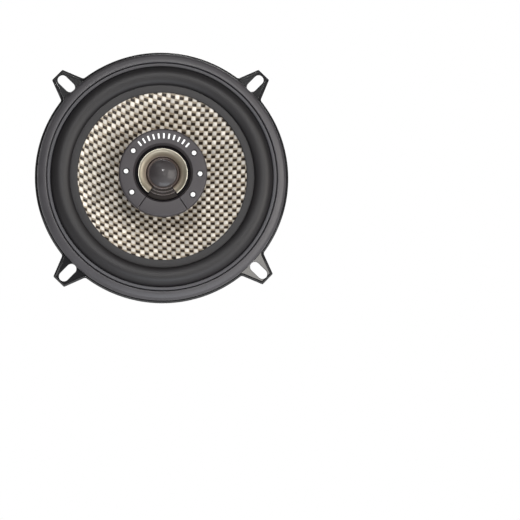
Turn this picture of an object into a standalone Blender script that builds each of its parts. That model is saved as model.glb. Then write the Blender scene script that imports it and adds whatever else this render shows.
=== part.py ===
"""A two-way coaxial car speaker of the 130 mm size, as an assembly of its separate pieces.

The frame is in metres with +Z up. The speaker stands upright with its axis along Y: its front
faces -Y, its magnet is at +Y and its terminals are at the bottom. The origin is the centre of
the mounting plane, which is the rear face of the basket's flange.
"""

import math

import bmesh
import bpy
from mathutils import Vector

# Every dimension below is in millimetres, and MM turns it into metres.
MM = 0.001
GAP = 0.3  # clearance between two pieces that touch

# Flange and mounting ears.
FLANGE_R = 65.0
FLANGE_T = 1.6
EAR_ANGLES = (45, 135, 225, 315)
EAR_TIP_R = 75.4
EAR_TIP_HALF = 3.8
EAR_ROOT_HALF = 8.1
SLOT_R = 68.9
SLOT_LENGTH = 10.4
SLOT_WIDTH = 5.1
BOWL_RIM_R = 59.8  # the bowl's front edge, inside the flange plate

# Basket bowl, front gasket and clamp ring.
WALL_T = 1.2
WALL_FOOT = (52.6, 7.6)  # radius and depth of the conical wall's front end
WALL_TOP = (49.6, 24.2)
LEDGE_Y = 26.9
FLOOR_Y = 23.5
COIL_HOLE_R = 14.4
GASKET_FRONT_Y = -5.0
CLAMP_R = (57.2, 59.2)

# Openings in the wall. Angles are from the bottom, in degrees.
BIG_OPENING_HALF = 32.0
BIG_OPENING_Y = (8.8, 21.8)
SMALL_OPENING_Y = (9.2, 22.6)

# Cone, surround, spider and voice coil.
CONE_RIM_R = 46.6
CONE_FOLD_R = 43.4
CONE_FRONT_Y = -4.3
CONE_T = 0.6
NECK_R = 12.95
NECK_Y = 12.1
ROLL_CREST = (51.9, -7.9)
FORMER_R = (12.4, 12.65)
FORMER_Y = (11.0, 31.0)
COIL_R = 13.4
SPIDER_Y = 15.25
SPIDER_RING_R = (33.3, 37.3)

# Motor.
POLE_R = 12.0
LEAD_BORE_R = 2.4
PLATE_R = 33.0
MAGNET_R = 35.0
TOP_PLATE_Y = (23.8, 27.8)
MAGNET_Y = (28.1, 36.0)
BACK_PLATE_Y = (36.3, 40.0)
RIVET_R = 25.0
RIVET_SHANK_R = 1.6

# Magnet cover and label.
COVER_BACK_Y = 42.0
COVER_T = 1.6
LABEL_R = 36.1
LABEL_T = 0.3
LEAD_SLOT_HALF = 2.25

# Tweeter.
BEZEL_FRONT_Y = -16.8
BEZEL_R = (14.6, 22.3)
WEDGE_ANGLES = (234.0, 303.0)
STUD_ANGLES = (143.0, 177.3, 211.8, 32.3, -2.2, -37.1)
STUD_R = 1.2
STUD_CIRCLE_R = 18.6
REFLECTOR_R = (8.6, 12.6)
DOME_R = 6.7

# Terminal board, in its own frame: x across, y outwards, z towards the rear.
BOARD_CENTRE = (0.0, 17.5, -53.7)
BOARD_TILT = 22.0
BOARD_SIZE = (31.0, 1.5, 10.5)
EYELET_HOLE_R = 2.1
TAB_T = 0.8

# Wiring.
LEAD_R = 0.8
LEAD_X = 0.95
RESISTOR_CENTRE = (-3.3, 28.3, -51.0)
RESISTOR_R = 3.1
RESISTOR_HALF = 9.4
WIRE_R = 0.4
TINSEL_R = 0.5

ROUND = 40  # sides of the large turned pieces
MEDIUM = 28
SMALL = 14


def clear_scene():
    for obj in list(bpy.data.objects):
        bpy.data.objects.remove(obj, do_unlink=True)


def make_material(name, colour, roughness, metallic=0.0):
    material = bpy.data.materials.new(name)
    material.use_nodes = True
    shader = material.node_tree.nodes["Principled BSDF"]
    shader.inputs["Base Color"].default_value = (*colour, 1.0)
    shader.inputs["Roughness"].default_value = roughness
    shader.inputs["Metallic"].default_value = metallic
    return material


def make_materials():
    """The finishes, by name: linear colour, roughness and metallic value."""
    finishes = {
        "black_paint": ((0.012, 0.012, 0.013), 0.22, 0.0),
        "grey_gasket": ((0.05, 0.05, 0.055), 0.45, 0.0),
        "surround_rubber": ((0.018, 0.018, 0.019), 0.5, 0.0),
        "woven_cone": ((0.42, 0.37, 0.29), 0.55, 0.0),
        "spider_cloth": ((0.55, 0.42, 0.2), 0.9, 0.0),
        "coil_former": ((0.6, 0.45, 0.25), 0.5, 0.0),
        "copper": ((0.7, 0.3, 0.15), 0.35, 1.0),
        "plated_steel": ((0.55, 0.54, 0.5), 0.35, 1.0),
        "ferrite": ((0.04, 0.04, 0.042), 0.6, 0.0),
        "black_vinyl": ((0.01, 0.01, 0.012), 0.12, 0.0),
        "label_black": ((0.012, 0.012, 0.012), 0.35, 0.0),
        "bezel_plastic": ((0.03, 0.03, 0.032), 0.55, 0.0),
        "white_plastic": ((0.8, 0.8, 0.78), 0.4, 0.0),
        "champagne_film": ((0.62, 0.5, 0.36), 0.2, 0.3),
        "dome_film": ((0.06, 0.045, 0.035), 0.25, 0.0),
        "fibre_board": ((0.09, 0.12, 0.12), 0.6, 0.0),
        "tinned_metal": ((0.72, 0.71, 0.68), 0.28, 1.0),
        "lead_insulation": ((0.62, 0.6, 0.55), 0.3, 0.2),
        "resistor_enamel": ((0.75, 0.66, 0.66), 0.4, 0.0),
        "capacitor_sleeve": ((0.03, 0.05, 0.2), 0.4, 0.0),
    }
    return {name: make_material(name, *values) for name, values in finishes.items()}


def finish_mesh(name, shape, material, sharp_angle=35.0):
    """Makes a smooth-shaded object from a bmesh that is in millimetres."""
    bmesh.ops.recalc_face_normals(shape, faces=shape.faces)
    bmesh.ops.scale(shape, vec=(MM, MM, MM), verts=shape.verts)
    mesh = bpy.data.meshes.new(name)
    shape.to_mesh(mesh)
    shape.free()
    mesh.shade_smooth()
    mesh.set_sharp_from_angle(angle=math.radians(sharp_angle))
    if material:
        mesh.materials.append(material)
    obj = bpy.data.objects.new(name, mesh)
    bpy.context.scene.collection.objects.link(obj)
    return obj


def turned_shape(profile, sides, start=0.0, sweep=360.0):
    """Spins (radius, y) points about the Y axis. Angles run from +X towards +Z, in degrees."""
    shape = bmesh.new()
    turn = math.radians(start)
    corners = [shape.verts.new((r * math.cos(turn), y, r * math.sin(turn))) for r, y in profile]
    edges = [shape.edges.new(pair) for pair in zip(corners, corners[1:])]
    meets_axis = profile[0][0] == 0 and profile[-1][0] == 0
    if not meets_axis:
        edges.append(shape.edges.new((corners[-1], corners[0])))
    whole = sweep >= 360.0
    bmesh.ops.spin(
        shape,
        geom=corners + edges,
        cent=(0, 0, 0),
        axis=(0, -1, 0),
        angle=math.radians(sweep),
        steps=sides,
        use_merge=whole,
    )
    if meets_axis:
        bmesh.ops.remove_doubles(shape, verts=shape.verts, dist=0.0005)
    if not whole:
        bmesh.ops.holes_fill(shape, edges=shape.edges, sides=0)
    return shape


def turned(name, profile, material, sides=ROUND, start=0.0, sweep=360.0):
    return finish_mesh(name, turned_shape(profile, sides, start, sweep), material)


def ring_profile(inner, outer, front, back):
    return [(inner, front), (outer, front), (outer, back), (inner, back)]


def add_prism(shape, outline, offset):
    """Adds the closed prism between an outline of 3-D points and the same outline moved by offset."""
    near = [shape.verts.new(point) for point in outline]
    far = [shape.verts.new(Vector(point) + Vector(offset)) for point in outline]
    shape.faces.new(near)
    shape.faces.new(reversed(far))
    for i in range(len(near)):
        j = (i + 1) % len(near)
        shape.faces.new((near[j], near[i], far[i], far[j]))


def prism(name, outline, offset, material):
    shape = bmesh.new()
    add_prism(shape, outline, offset)
    return finish_mesh(name, shape, material)


def add_radial_cut(shape, outline, inner_r=30.0, outer_r=75.0):
    """Adds a closed cutter whose sides run along radii. The outline holds (angle from the bottom, y)."""
    centre = [sum(values) / len(outline) for values in zip(*outline)]
    rims = []
    for radius in (inner_r, outer_r):
        points = [
            (radius * math.sin(math.radians(a)), y, -radius * math.cos(math.radians(a)))
            for a, y in [*outline, centre]
        ]
        rims.append([shape.verts.new(point) for point in points])
    inner, outer = rims
    count = len(outline)
    for i in range(count):
        j = (i + 1) % count
        shape.faces.new((inner[i], inner[j], inner[count]))
        shape.faces.new((outer[j], outer[i], outer[count]))
        shape.faces.new((inner[j], inner[i], outer[i], outer[j]))


def hidden_tool(obj):
    obj.hide_render = True
    obj.display_type = "WIRE"
    return obj


def boolean(target, tool, operation, solver="EXACT"):
    modifier = target.modifiers.new(f"{operation.lower()}_{tool.name}", "BOOLEAN")
    modifier.operation = operation
    modifier.object = hidden_tool(tool)
    modifier.solver = solver


def smooth_route(points, spacing):
    """Points about that far apart along a smooth curve through the given points."""
    route = [Vector(p) for p in points]
    padded = [2 * route[0] - route[1], *route, 2 * route[-1] - route[-2]]
    found = [route[0]]
    for a, b, c, d in zip(padded, padded[1:], padded[2:], padded[3:]):
        steps = max(1, round((c - b).length / spacing))
        for i in range(1, steps + 1):
            t = i / steps
            found.append(
                0.5
                * (
                    2 * b
                    + (c - a) * t
                    + (2 * a - 5 * b + 4 * c - d) * t**2
                    + (3 * b - a - 3 * c + d) * t**3
                )
            )
    return found


def tube(name, points, radius, material, spacing):
    """A round wire along a smooth route, as a bevelled curve with filled caps."""
    curve = bpy.data.curves.new(name, "CURVE")
    curve.dimensions = "3D"
    curve.bevel_depth = radius * MM
    curve.bevel_resolution = 2
    curve.use_fill_caps = True
    route = smooth_route(points, spacing)
    spline = curve.splines.new("POLY")
    spline.points.add(len(route) - 1)
    for place, point in zip(spline.points, route):
        place.co = (*(point * MM), 1.0)
    curve.materials.append(material)
    obj = bpy.data.objects.new(name, curve)
    bpy.context.scene.collection.objects.link(obj)
    return obj


def circle_outline(centre, radius, sides, y):
    """A circle in the plane of the flange."""
    turns = [2 * math.pi * i / sides for i in range(sides)]
    return [(centre[0] + radius * math.cos(t), y, centre[1] + radius * math.sin(t)) for t in turns]


def slot_outline(angle, y, steps=8):
    """A stadium along the radius at that angle, in the plane of the flange."""
    along = Vector((math.cos(math.radians(angle)), 0, math.sin(math.radians(angle))))
    across = Vector((-along.z, 0, along.x))
    half = SLOT_WIDTH / 2
    reach = SLOT_LENGTH / 2 - half
    points = []
    for side, first in ((1, -90), (-1, 90)):
        for i in range(steps + 1):
            turn = math.radians(first + 180 * i / steps)
            out = along * (SLOT_R + side * reach + half * math.cos(turn))
            points.append(out + across * half * math.sin(turn) + Vector((0, y, 0)))
    return points


def flange_outline(y):
    """The flange's edge: four arcs, and an ear between each two."""
    root_turn = math.degrees(math.asin(EAR_ROOT_HALF / FLANGE_R))
    tip_turn = math.degrees(math.atan2(EAR_TIP_HALF, EAR_TIP_R))
    tip_r = math.hypot(EAR_TIP_HALF, EAR_TIP_R)
    corners = []
    arc_steps = 14
    for angle in EAR_ANGLES:
        corners.append((FLANGE_R, angle - root_turn))
        corners.append((tip_r, angle - tip_turn))
        corners.append((tip_r, angle + tip_turn))
        first = angle + root_turn
        span = 90 - 2 * root_turn
        corners.extend((FLANGE_R, first + span * i / arc_steps) for i in range(arc_steps))
    return [
        (r * math.cos(math.radians(a)), y, r * math.sin(math.radians(a))) for r, a in corners
    ]


def bowl_profile():
    """The pressed bowl, from the flange along its outside to the coil hole, and back inside."""
    foot_r, foot_y = WALL_FOOT
    top_r, top_y = WALL_TOP
    outside = [
        (BOWL_RIM_R, -0.8),
        (59.0, 1.4),
        (56.8, 1.7),
        (55.4, 3.4),
        (53.2, 5.3),
        (foot_r, foot_y),
        (top_r, top_y),
        (48.7, 26.1),
        (47.2, LEDGE_Y),
        (43.2, LEDGE_Y),
        (41.4, FLOOR_Y),
        (COIL_HOLE_R, FLOOR_Y),
    ]
    inside = [
        (COIL_HOLE_R, FLOOR_Y - WALL_T),
        (42.2, FLOOR_Y - WALL_T),
        (44.0, LEDGE_Y - 1.3),
        (46.6, LEDGE_Y - 1.3),
        (top_r - WALL_T, top_y - 0.4),
        (foot_r - WALL_T, foot_y - 0.4),
        (52.0, 4.6),
        (54.4, 2.5),
        (55.8, 0.5),
        (57.9, 0.3),
        (58.2, -0.8),
    ]
    return outside + inside


def big_opening(centre):
    """An arched opening with a straight lower edge, centred on that angle."""
    low, high = BIG_OPENING_Y
    steps = 14
    return [
        (
            centre + BIG_OPENING_HALF * math.cos(math.pi * i / steps),
            low + (high - low) * math.sin(math.pi * i / steps),
        )
        for i in range(steps + 1)
    ]


def small_openings(centre):
    """The pair of openings on the pillar at that angle, one each side of its rib."""
    low, high = SMALL_OPENING_Y
    half = [(1.6, low), (9.4, low), (10.6, low + 1.5), (8.0, high - 1.5), (6.8, high), (1.6, high)]
    return [[(centre + side * a, y) for a, y in half] for side in (1, -1)]


def make_flange(paint):
    """The flat flange plate with its four slotted ears."""
    flange = prism("basket_flange", flange_outline(-FLANGE_T), (0, FLANGE_T, 0), paint)
    holes = bmesh.new()
    cut = (0, FLANGE_T + 2, 0)
    add_prism(holes, circle_outline((0, 0), BOWL_RIM_R + GAP, ROUND, -FLANGE_T - 1), cut)
    for angle in EAR_ANGLES:
        add_prism(holes, slot_outline(angle, -FLANGE_T - 1), cut)
    boolean(flange, finish_mesh("flange_hole_cutter", holes, None), "DIFFERENCE")


def make_basket(paint):
    """The pressed bowl inside the flange, with its windows and the terminal tongue."""
    basket = turned("basket", bowl_profile(), paint)

    windows = bmesh.new()
    for quarter in (0, 90, 180, 270):
        add_radial_cut(windows, big_opening(quarter))
        for outline in small_openings(quarter + 45):
            add_radial_cut(windows, outline)
    for centre in rivet_places():
        hole = circle_outline(centre, RIVET_SHANK_R + GAP, SMALL, FLOOR_Y - 3)
        add_prism(windows, hole, (0, 5, 0))
    boolean(basket, finish_mesh("window_cutter", windows, None), "DIFFERENCE", "MANIFOLD")

    tongue = bmesh.new()
    front, back = -BOARD_SIZE[1] - GAP - WALL_T, -BOARD_SIZE[1] - GAP
    outline = [(x, front, z) for x, z in ((-6.5, -5.0), (6.5, -5.0), (6.5, 8.4), (-6.5, 8.4))]
    add_prism(tongue, outline, (0, back - front, 0))
    tongue = on_board(finish_mesh("tongue_part", tongue, None))
    boolean(basket, tongue, "UNION", "MANIFOLD")

    hole = bmesh.new()
    add_prism(hole, circle_outline((0, 0), EYELET_HOLE_R, SMALL, -6), (0, 10, 0))
    eyelet_hole = on_board(finish_mesh("eyelet_hole_cutter", hole, None))
    boolean(basket, eyelet_hole, "DIFFERENCE", "MANIFOLD")


def rivet_places():
    turns = [math.radians(a) for a in EAR_ANGLES]
    return [(RIVET_R * math.cos(t), RIVET_R * math.sin(t)) for t in turns]


def on_board(obj):
    """Places a piece that was modelled in the terminal board's own frame."""
    obj.parent = bpy.data.objects["terminal_frame"]
    return obj


def make_terminal_frame():
    frame = bpy.data.objects.new("terminal_frame", None)
    frame.location = Vector(BOARD_CENTRE) * MM
    frame.rotation_euler = (math.radians(BOARD_TILT - 90), 0, 0)
    bpy.context.scene.collection.objects.link(frame)


def make_front_rings(gasket_material, rubber):
    back = -FLANGE_T - GAP
    front = GASKET_FRONT_Y
    profile = [
        (59.6, back),
        (59.6, front + 0.5),
        (60.1, front),
        (62.6, front),
        (63.9, front + 0.7),
        (64.5, front + 2.0),
        (64.5, back),
    ]
    gasket = turned("mounting_gasket", profile, gasket_material)
    bites = bmesh.new()
    for angle in EAR_ANGLES:
        add_prism(bites, slot_outline(angle, -12), (0, 14, 0))
    boolean(gasket, finish_mesh("slot_bite_cutter", bites, None), "DIFFERENCE")
    inner, outer = CLAMP_R
    clamp = [(inner, -2.9), (inner, -4.3), (inner + 0.5, -4.6), (outer, -4.6), (outer, -2.9)]
    turned("surround_clamp_ring", clamp, rubber)


def roll_profile(offset):
    """The half roll between the cone's land and the basket's land, moved by offset along Y."""
    inner, outer = (47.0, -4.9), (56.8, -2.6)
    crest_r, crest_y = ROLL_CREST
    steps = 6
    points = []
    for i in range(steps + 1):
        turn = math.pi * i / steps
        start = inner if i <= steps / 2 else outer
        r = crest_r + (start[0] - crest_r) * abs(math.cos(turn))
        y = start[1] + (crest_y - start[1]) * math.sin(turn)
        points.append((r, y + offset))
    return points


def make_surround(rubber):
    thickness = 0.6
    front = [(43.7, -5.2), *roll_profile(-0.3), (59.0, -2.6)]
    back = [(59.0, -2.6 + 0.5), *reversed(roll_profile(thickness - 0.3)), (43.7, -4.6)]
    turned("surround", front + back, rubber)


def cone_y(radius):
    """Depth of the cone's front face at a radius: a slightly flared cone."""
    share = (CONE_FOLD_R - radius) / (CONE_FOLD_R - NECK_R)
    return CONE_FRONT_Y + (NECK_Y - CONE_FRONT_Y) * (0.88 * share + 0.12 * share**2)


def make_cone(weave):
    steps = 3
    span = CONE_FOLD_R - NECK_R
    radii = [CONE_FOLD_R - span * i / steps for i in range(steps + 1)]
    front = [(CONE_RIM_R, CONE_FRONT_Y)] + [(r, cone_y(r)) for r in radii]
    back = [(r, cone_y(r) + CONE_T) for r in reversed(radii)]
    turned("cone", front + back + [(CONE_RIM_R, CONE_FRONT_Y + CONE_T)], weave)


def make_coil(former_material, copper):
    former_profile = ring_profile(*FORMER_R, *FORMER_Y)
    turned("voice_coil_former", former_profile, former_material, MEDIUM)
    coil_profile = ring_profile(FORMER_R[1] + GAP, COIL_R, 21.8, 29.8)
    turned("voice_coil", coil_profile, copper, MEDIUM)


def make_spider(cloth, plastic):
    """The corrugated centring ring, and the raised ring of the basket that its rim is glued to."""
    thickness = 0.5
    first, last = FORMER_R[1] + GAP, SPIDER_RING_R[0] - 1.4
    land_y = SPIDER_Y - 0.2
    waves, steps = 3, 9
    front = []
    for i in range(steps + 1):
        r = first + (last - first) * i / steps
        front.append((r, SPIDER_Y + 0.9 * math.sin(2 * math.pi * waves * i / steps + math.pi / 6)))
    front += [(SPIDER_RING_R[0] - 0.4, land_y), (SPIDER_RING_R[1] - 0.3, land_y)]
    back = [(r, y + thickness) for r, y in reversed(front)]
    turned("spider", front + back, cloth, MEDIUM)
    ring = ring_profile(*SPIDER_RING_R, land_y + thickness + GAP, FLOOR_Y - WALL_T - GAP)
    turned("spider_ring", ring, plastic, MEDIUM)


def make_motor(steel, ferrite):
    plate = turned("top_plate", ring_profile(13.9, PLATE_R, *TOP_PLATE_Y), steel, MEDIUM)
    holes = bmesh.new()
    for centre in rivet_places():
        outline = circle_outline(centre, RIVET_SHANK_R + GAP, 12, TOP_PLATE_Y[0] - 1)
        add_prism(holes, outline, (0, 6, 0))
    boolean(plate, finish_mesh("plate_hole_cutter", holes, None), "DIFFERENCE")
    turned("magnet_ring", ring_profile(16.0, MAGNET_R, *MAGNET_Y), ferrite, MEDIUM)
    yoke = [
        (LEAD_BORE_R, TOP_PLATE_Y[0]),
        (POLE_R, TOP_PLATE_Y[0]),
        (POLE_R, BACK_PLATE_Y[0]),
        (PLATE_R, BACK_PLATE_Y[0]),
        (PLATE_R, BACK_PLATE_Y[1]),
        (LEAD_BORE_R, BACK_PLATE_Y[1]),
    ]
    turned("t_yoke", yoke, steel, MEDIUM)


def make_rivets(steel):
    """The four rivets that hold the basket's floor to the top plate."""
    head_y = FLOOR_Y - WALL_T - GAP
    profile = [(0, head_y - 1.0), (1.9, head_y - 0.8), (2.7, head_y), (RIVET_SHANK_R, head_y)]
    profile += [(RIVET_SHANK_R, TOP_PLATE_Y[1] - GAP), (0, TOP_PLATE_Y[1] - GAP)]
    for number, (x, z) in enumerate(rivet_places(), 1):
        rivet = turned(f"basket_rivet_{number}", profile, steel, 12)
        rivet.location = (x * MM, 0, z * MM)


def make_cover(vinyl, label_material):
    """The moulded cup over the magnet, slotted for the tweeter's leads, and its round label."""
    back = COVER_BACK_Y
    outside = [
        (0, back),
        (35.9, back),
        (37.3, back - 1.0),
        (37.9, back - 3.0),
        (38.6, 33.2),
        (40.2, 30.6),
        (43.3, 28.6),
        (43.3, LEDGE_Y + GAP),
    ]
    inside = [(41.9, LEDGE_Y + GAP), (37.0, 30.6), (35.8, 33.2)]
    inside += [(35.8, back - COVER_T), (0, back - COVER_T)]
    cover = turned("magnet_cover", outside + inside, vinyl)
    slot = bmesh.new()
    half, top = LEAD_SLOT_HALF, 2.6
    outline = [(-half, 39.9, top), (half, 39.9, top), (half, 39.9, -45), (-half, 39.9, -45)]
    add_prism(slot, outline, (0, 4, 0))
    boolean(cover, finish_mesh("lead_slot_cutter", slot, None), "DIFFERENCE")
    label = [(0, back + GAP), (LABEL_R, back + GAP)]
    label += [(LABEL_R, back + GAP + LABEL_T), (0, back + GAP + LABEL_T)]
    turned("rear_label", label, label_material)


def make_board(fibre, tinned):
    width, thickness, height = BOARD_SIZE
    outline = [
        (x, -thickness, z)
        for x, z in (
            (-width / 2, -height / 2),
            (width / 2, -height / 2),
            (width / 2, height / 2),
            (-width / 2, height / 2),
        )
    ]
    board = on_board(prism("terminal_board", outline, (0, thickness, 0), fibre))
    hole = bmesh.new()
    add_prism(hole, circle_outline((0, 0), EYELET_HOLE_R, SMALL, -3), (0, 4, 0))
    boolean(board, on_board(finish_mesh("board_hole_cutter", hole, None)), "DIFFERENCE")
    inner_end = -thickness - GAP - WALL_T - GAP
    eyelet = [
        (1.3, inner_end - 0.5),
        (2.7, inner_end - 0.5),
        (2.7, inner_end),
        (1.8, inner_end),
        (1.8, GAP),
        (3.0, GAP),
        (2.9, GAP + 0.6),
        (2.1, GAP + 1.0),
        (1.3, GAP + 0.6),
    ]
    on_board(turned("terminal_eyelet", eyelet, tinned, SMALL))


def make_tab(name, side, blade_width, tinned):
    """A terminal tab: a base on the board with a lug above it, and a blade bent outwards."""
    base_in, bend, tip = 9.8, 15.9, 24.2
    rise = math.tan(math.radians(20.0))
    y = GAP + TAB_T / 2
    half = blade_width / 2
    base = [(base_in, -4.4), (bend, -half), (bend, half), (bend - 1.6, 4.4), (12.6, 4.4)]
    base += [(12.6, 6.6), (base_in, 6.6)]
    shape = bmesh.new()
    corners = {point: shape.verts.new((side * point[0], y, point[1])) for point in base}
    shape.faces.new(list(corners.values()))
    blade = [corners[(bend, -half)]]
    arc_steps = 6
    centre = tip - half
    for i in range(arc_steps + 1):
        turn = math.radians(-90 + 180 * i / arc_steps)
        x, z = centre + half * math.cos(turn), half * math.sin(turn)
        blade.append(shape.verts.new((side * x, y + (x - bend) * rise, z)))
    blade.append(corners[(bend, half)])
    shape.faces.new(blade)
    obj = on_board(finish_mesh(name, shape, tinned))
    plate = obj.modifiers.new("thickness", "SOLIDIFY")
    plate.thickness = TAB_T * MM
    plate.offset = 0.0
    plate.use_even_offset = True
    return obj


def make_solder(name, side, tinned):
    base = 2 * GAP + TAB_T
    profile = [(0, base + 1.3), (1.0, base + 1.1), (1.9, base + 0.5), (2.2, base), (0, base)]
    blob = on_board(turned(name, profile, tinned, 12))
    blob.location = (side * 12.4 * MM, 0, 1.0 * MM)


def make_terminals(fibre, tinned):
    make_board(fibre, tinned)
    for name, side, width in (("positive", -1, 4.8), ("negative", 1, 2.8)):
        make_tab(f"terminal_tab_{name}", side, width, tinned)
        make_solder(f"solder_joint_{name}", side, tinned)


def lead_run(side):
    """From the tweeter down the pole's bore, out under the label and down the cover's side."""
    x = side * LEAD_X
    y = COVER_BACK_Y - 0.75
    inner = [(x, -4.9, 0), (x, 6, 0), (x, 18, 0), (x, 30, 0), (x, 38.6, 0), (x, 40.3, -0.5)]
    slot = [(x, y - 0.05, -1.9), (x, y, -4.5), (x, y, -15), (x, y, -26), (x, y, -34.5)]
    outer = [(x, 41.1, -37.3), (x, 40.0, -39.0), (x, 37.6, -39.5), (x, 34.5, -39.9)]
    return inner + slot + outer + [(x, 32.2, -40.9), (x, 30.9, -42.6)]


def make_leads(insulation):
    """The negative lead goes straight to its tab; the positive one ends at the resistor."""
    negative = [
        (2.2, 30.5, -44.3),
        (4.6, 30.4, -46.2),
        (7.4, 30.2, -47.9),
        (9.6, 29.0, -49.6),
        (10.7, 27.6, -51.0),
        (11.0, 26.0, -51.6),
        (11.0, 24.4, -51.7),
    ]
    positive = [(-1.5, 30.1, -44.2), (-1.9, 29.1, -45.6), (-2.0, 28.4, -46.4)]
    spacing = 3 * LEAD_R
    tube("tweeter_lead_negative", lead_run(1) + negative, LEAD_R, insulation, spacing)
    tube("tweeter_lead_positive", lead_run(-1) + positive, LEAD_R, insulation, spacing)


def make_resistor(enamel, tinned):
    """The axial resistor in series with the tweeter, lying along X behind the terminal board."""
    half, r = RESISTOR_HALF, RESISTOR_R
    profile = [(0, -half), (r - 0.8, -half + 0.1), (r, -half + 0.9)]
    profile += [(r, half - 0.9), (r - 0.8, half - 0.1), (0, half)]
    body = turned("series_resistor", profile, enamel, SMALL)
    body.rotation_euler = (0, 0, math.radians(90))
    body.location = Vector(RESISTOR_CENTRE) * MM
    x, y, z = RESISTOR_CENTRE
    end = x + half + GAP
    inner_wire = [
        (end, y, z),
        (end + 0.9, y - 0.1, z),
        (7.7, 27.6, -50.0),
        (7.2, 27.2, -48.6),
        (5.6, 27.3, -47.4),
        (2.5, 27.5, -46.9),
        (-0.2, 27.6, -46.9),
    ]
    tube("resistor_wire_inner", inner_wire, WIRE_R, tinned, 1.6 * WIRE_R * 2)
    end = x - half - GAP
    outer_wire = [
        (end, y, z),
        (end - 0.9, y - 0.1, z - 0.1),
        (-14.7, 27.0, -51.8),
        (-14.3, 25.8, -52.3),
        (-13.1, 25.0, -52.1),
        (-11.8, 24.7, -51.7),
    ]
    tube("resistor_wire_outer", outer_wire, WIRE_R, tinned, 1.6 * WIRE_R * 2)


def make_tinsel_leads(copper):
    """The flexible leads from the terminals through the basket's opening to the back of the cone."""
    for name, side in (("positive", -1), ("negative", 1)):
        points = [
            (side * 11.0, 17.6, -50.2),
            (side * 10.7, 15.6, -46.2),
            (side * 9.8, 12.0, -40.6),
            (side * 8.8, 9.4, -34.8),
            (side * 8.0, 8.4, -29.0),
            (side * 7.2, 8.1, -23.4),
        ]
        tube(f"tinsel_lead_{name}", points, TINSEL_R, copper, 4 * TINSEL_R)


def make_tweeter_housing(plastic, steel):
    foot = TOP_PLATE_Y[0] - GAP
    post = [
        (2.4, -4.1),
        (6.0, -4.1),
        (6.0, -3.3),
        (4.4, -3.3),
        (4.4, foot - 1.6),
        (9.5, foot - 1.6),
        (9.5, foot),
        (2.4, foot),
    ]
    turned("tweeter_post", post, steel, SMALL)
    cup = [
        (20.6, -15.0),
        (20.6, -11.6),
        (18.6, -7.2),
        (13.4, -3.4),
        (6.5, -1.8),
        (4.7, -1.8),
        (4.7, -3.0),
        (6.5, -3.0),
        (12.7, -4.4),
        (17.6, -8.0),
        (19.4, -11.9),
        (19.4, -15.0),
    ]
    turned("tweeter_cup", cup, plastic, MEDIUM)


def make_bezel(plastic, white):
    """The front ring, open at the bottom where the wedge-shaped insert sits, and its white studs."""
    inner, outer = BEZEL_R
    front = BEZEL_FRONT_Y
    first, last = WEDGE_ANGLES
    slack = 0.8  # degrees, which leaves a seam each side of the insert
    skirt = outer - 1.4
    plate = [(inner, front + 0.4), (inner + 0.5, front), (outer - 0.6, front), (outer, front + 0.6)]
    rear = [(outer, -12.4), (skirt, -12.4), (skirt, front + 1.5), (inner, front + 1.5)]
    bezel = turned("tweeter_bezel", plate + rear, plastic, 34, last, 360 - (last - first))
    holes = bmesh.new()
    for angle in STUD_ANGLES:
        hole = circle_outline(stud_place(angle), STUD_R + GAP, 12, front - 1)
        add_prism(holes, hole, (0, 2.2, 0))
    boolean(bezel, finish_mesh("stud_hole_cutter", holes, None), "DIFFERENCE")
    for number, angle in enumerate(STUD_ANGLES, 1):
        stud = [(0, front - 0.2), (STUD_R - 0.3, front - 0.2), (STUD_R, front)]
        stud += [(STUD_R, front + 0.9), (0, front + 0.9)]
        place = stud_place(angle)
        turned(f"bezel_stud_{number}", stud, white, 12).location = (place[0] * MM, 0, place[1] * MM)
    wedge = [
        (7.7, -14.4),
        (9.0, -14.6),
        (10.6, -15.0),
        (12.4, -15.4),
        (inner, front + 0.4),
        (outer - 0.6, front + 0.2),
        (outer, front + 0.7),
        (outer, -12.4),
        (skirt, -12.4),
        (skirt, front + 1.5),
        (inner, front + 1.5),
        (inner - 0.8, -13.9),
        (7.7, -13.9),
    ]
    turned("tweeter_wedge", wedge, plastic, 8, first + slack, last - first - 2 * slack)


def stud_place(angle):
    turn = math.radians(angle)
    return STUD_CIRCLE_R * math.cos(turn), STUD_CIRCLE_R * math.sin(turn)


def make_tweeter_drive(materials):
    """The small dome driver inside the cup, from its frame to its yoke."""
    frame = ring_profile(7.4, 19.1, -12.9, -12.3)
    turned("tweeter_frame", frame, materials["bezel_plastic"], MEDIUM)
    inner, outer = REFLECTOR_R
    first, last = WEDGE_ANGLES
    reflector = [(inner, -13.8), (outer - 0.3, -15.2), (outer, -15.1), (outer, -13.7), (inner, -13.6)]
    slack = 1.6
    champagne = materials["champagne_film"]
    sweep = 360 - (last - first) - 2 * slack
    turned("tweeter_reflector", reflector, champagne, 28, last + slack, sweep)
    steel = materials["plated_steel"]
    turned("tweeter_plate", ring_profile_solid(6.1, -12.2, -11.0), steel, SMALL)
    turned("tweeter_magnet", ring_profile_solid(6.1, -10.7, -7.9), steel, SMALL)
    yoke = [(0, -7.6), (7.3, -7.6), (7.3, -12.0), (8.3, -12.0), (8.3, -6.3), (0, -6.3)]
    turned("tweeter_yoke", yoke, steel, SMALL)
    capacitor = [(0, -4.6), (1.6, -4.6), (2.0, -4.2), (2.0, 4.2), (1.6, 4.6), (0, 4.6)]
    body = turned("tweeter_capacitor", capacitor, materials["capacitor_sleeve"], 12)
    body.rotation_euler = (0, 0, math.radians(90))
    body.location = (0, -9.2 * MM, -12.4 * MM)


def ring_profile_solid(radius, front, back):
    return [(0, front), (radius, front), (radius, back), (0, back)]


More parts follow.
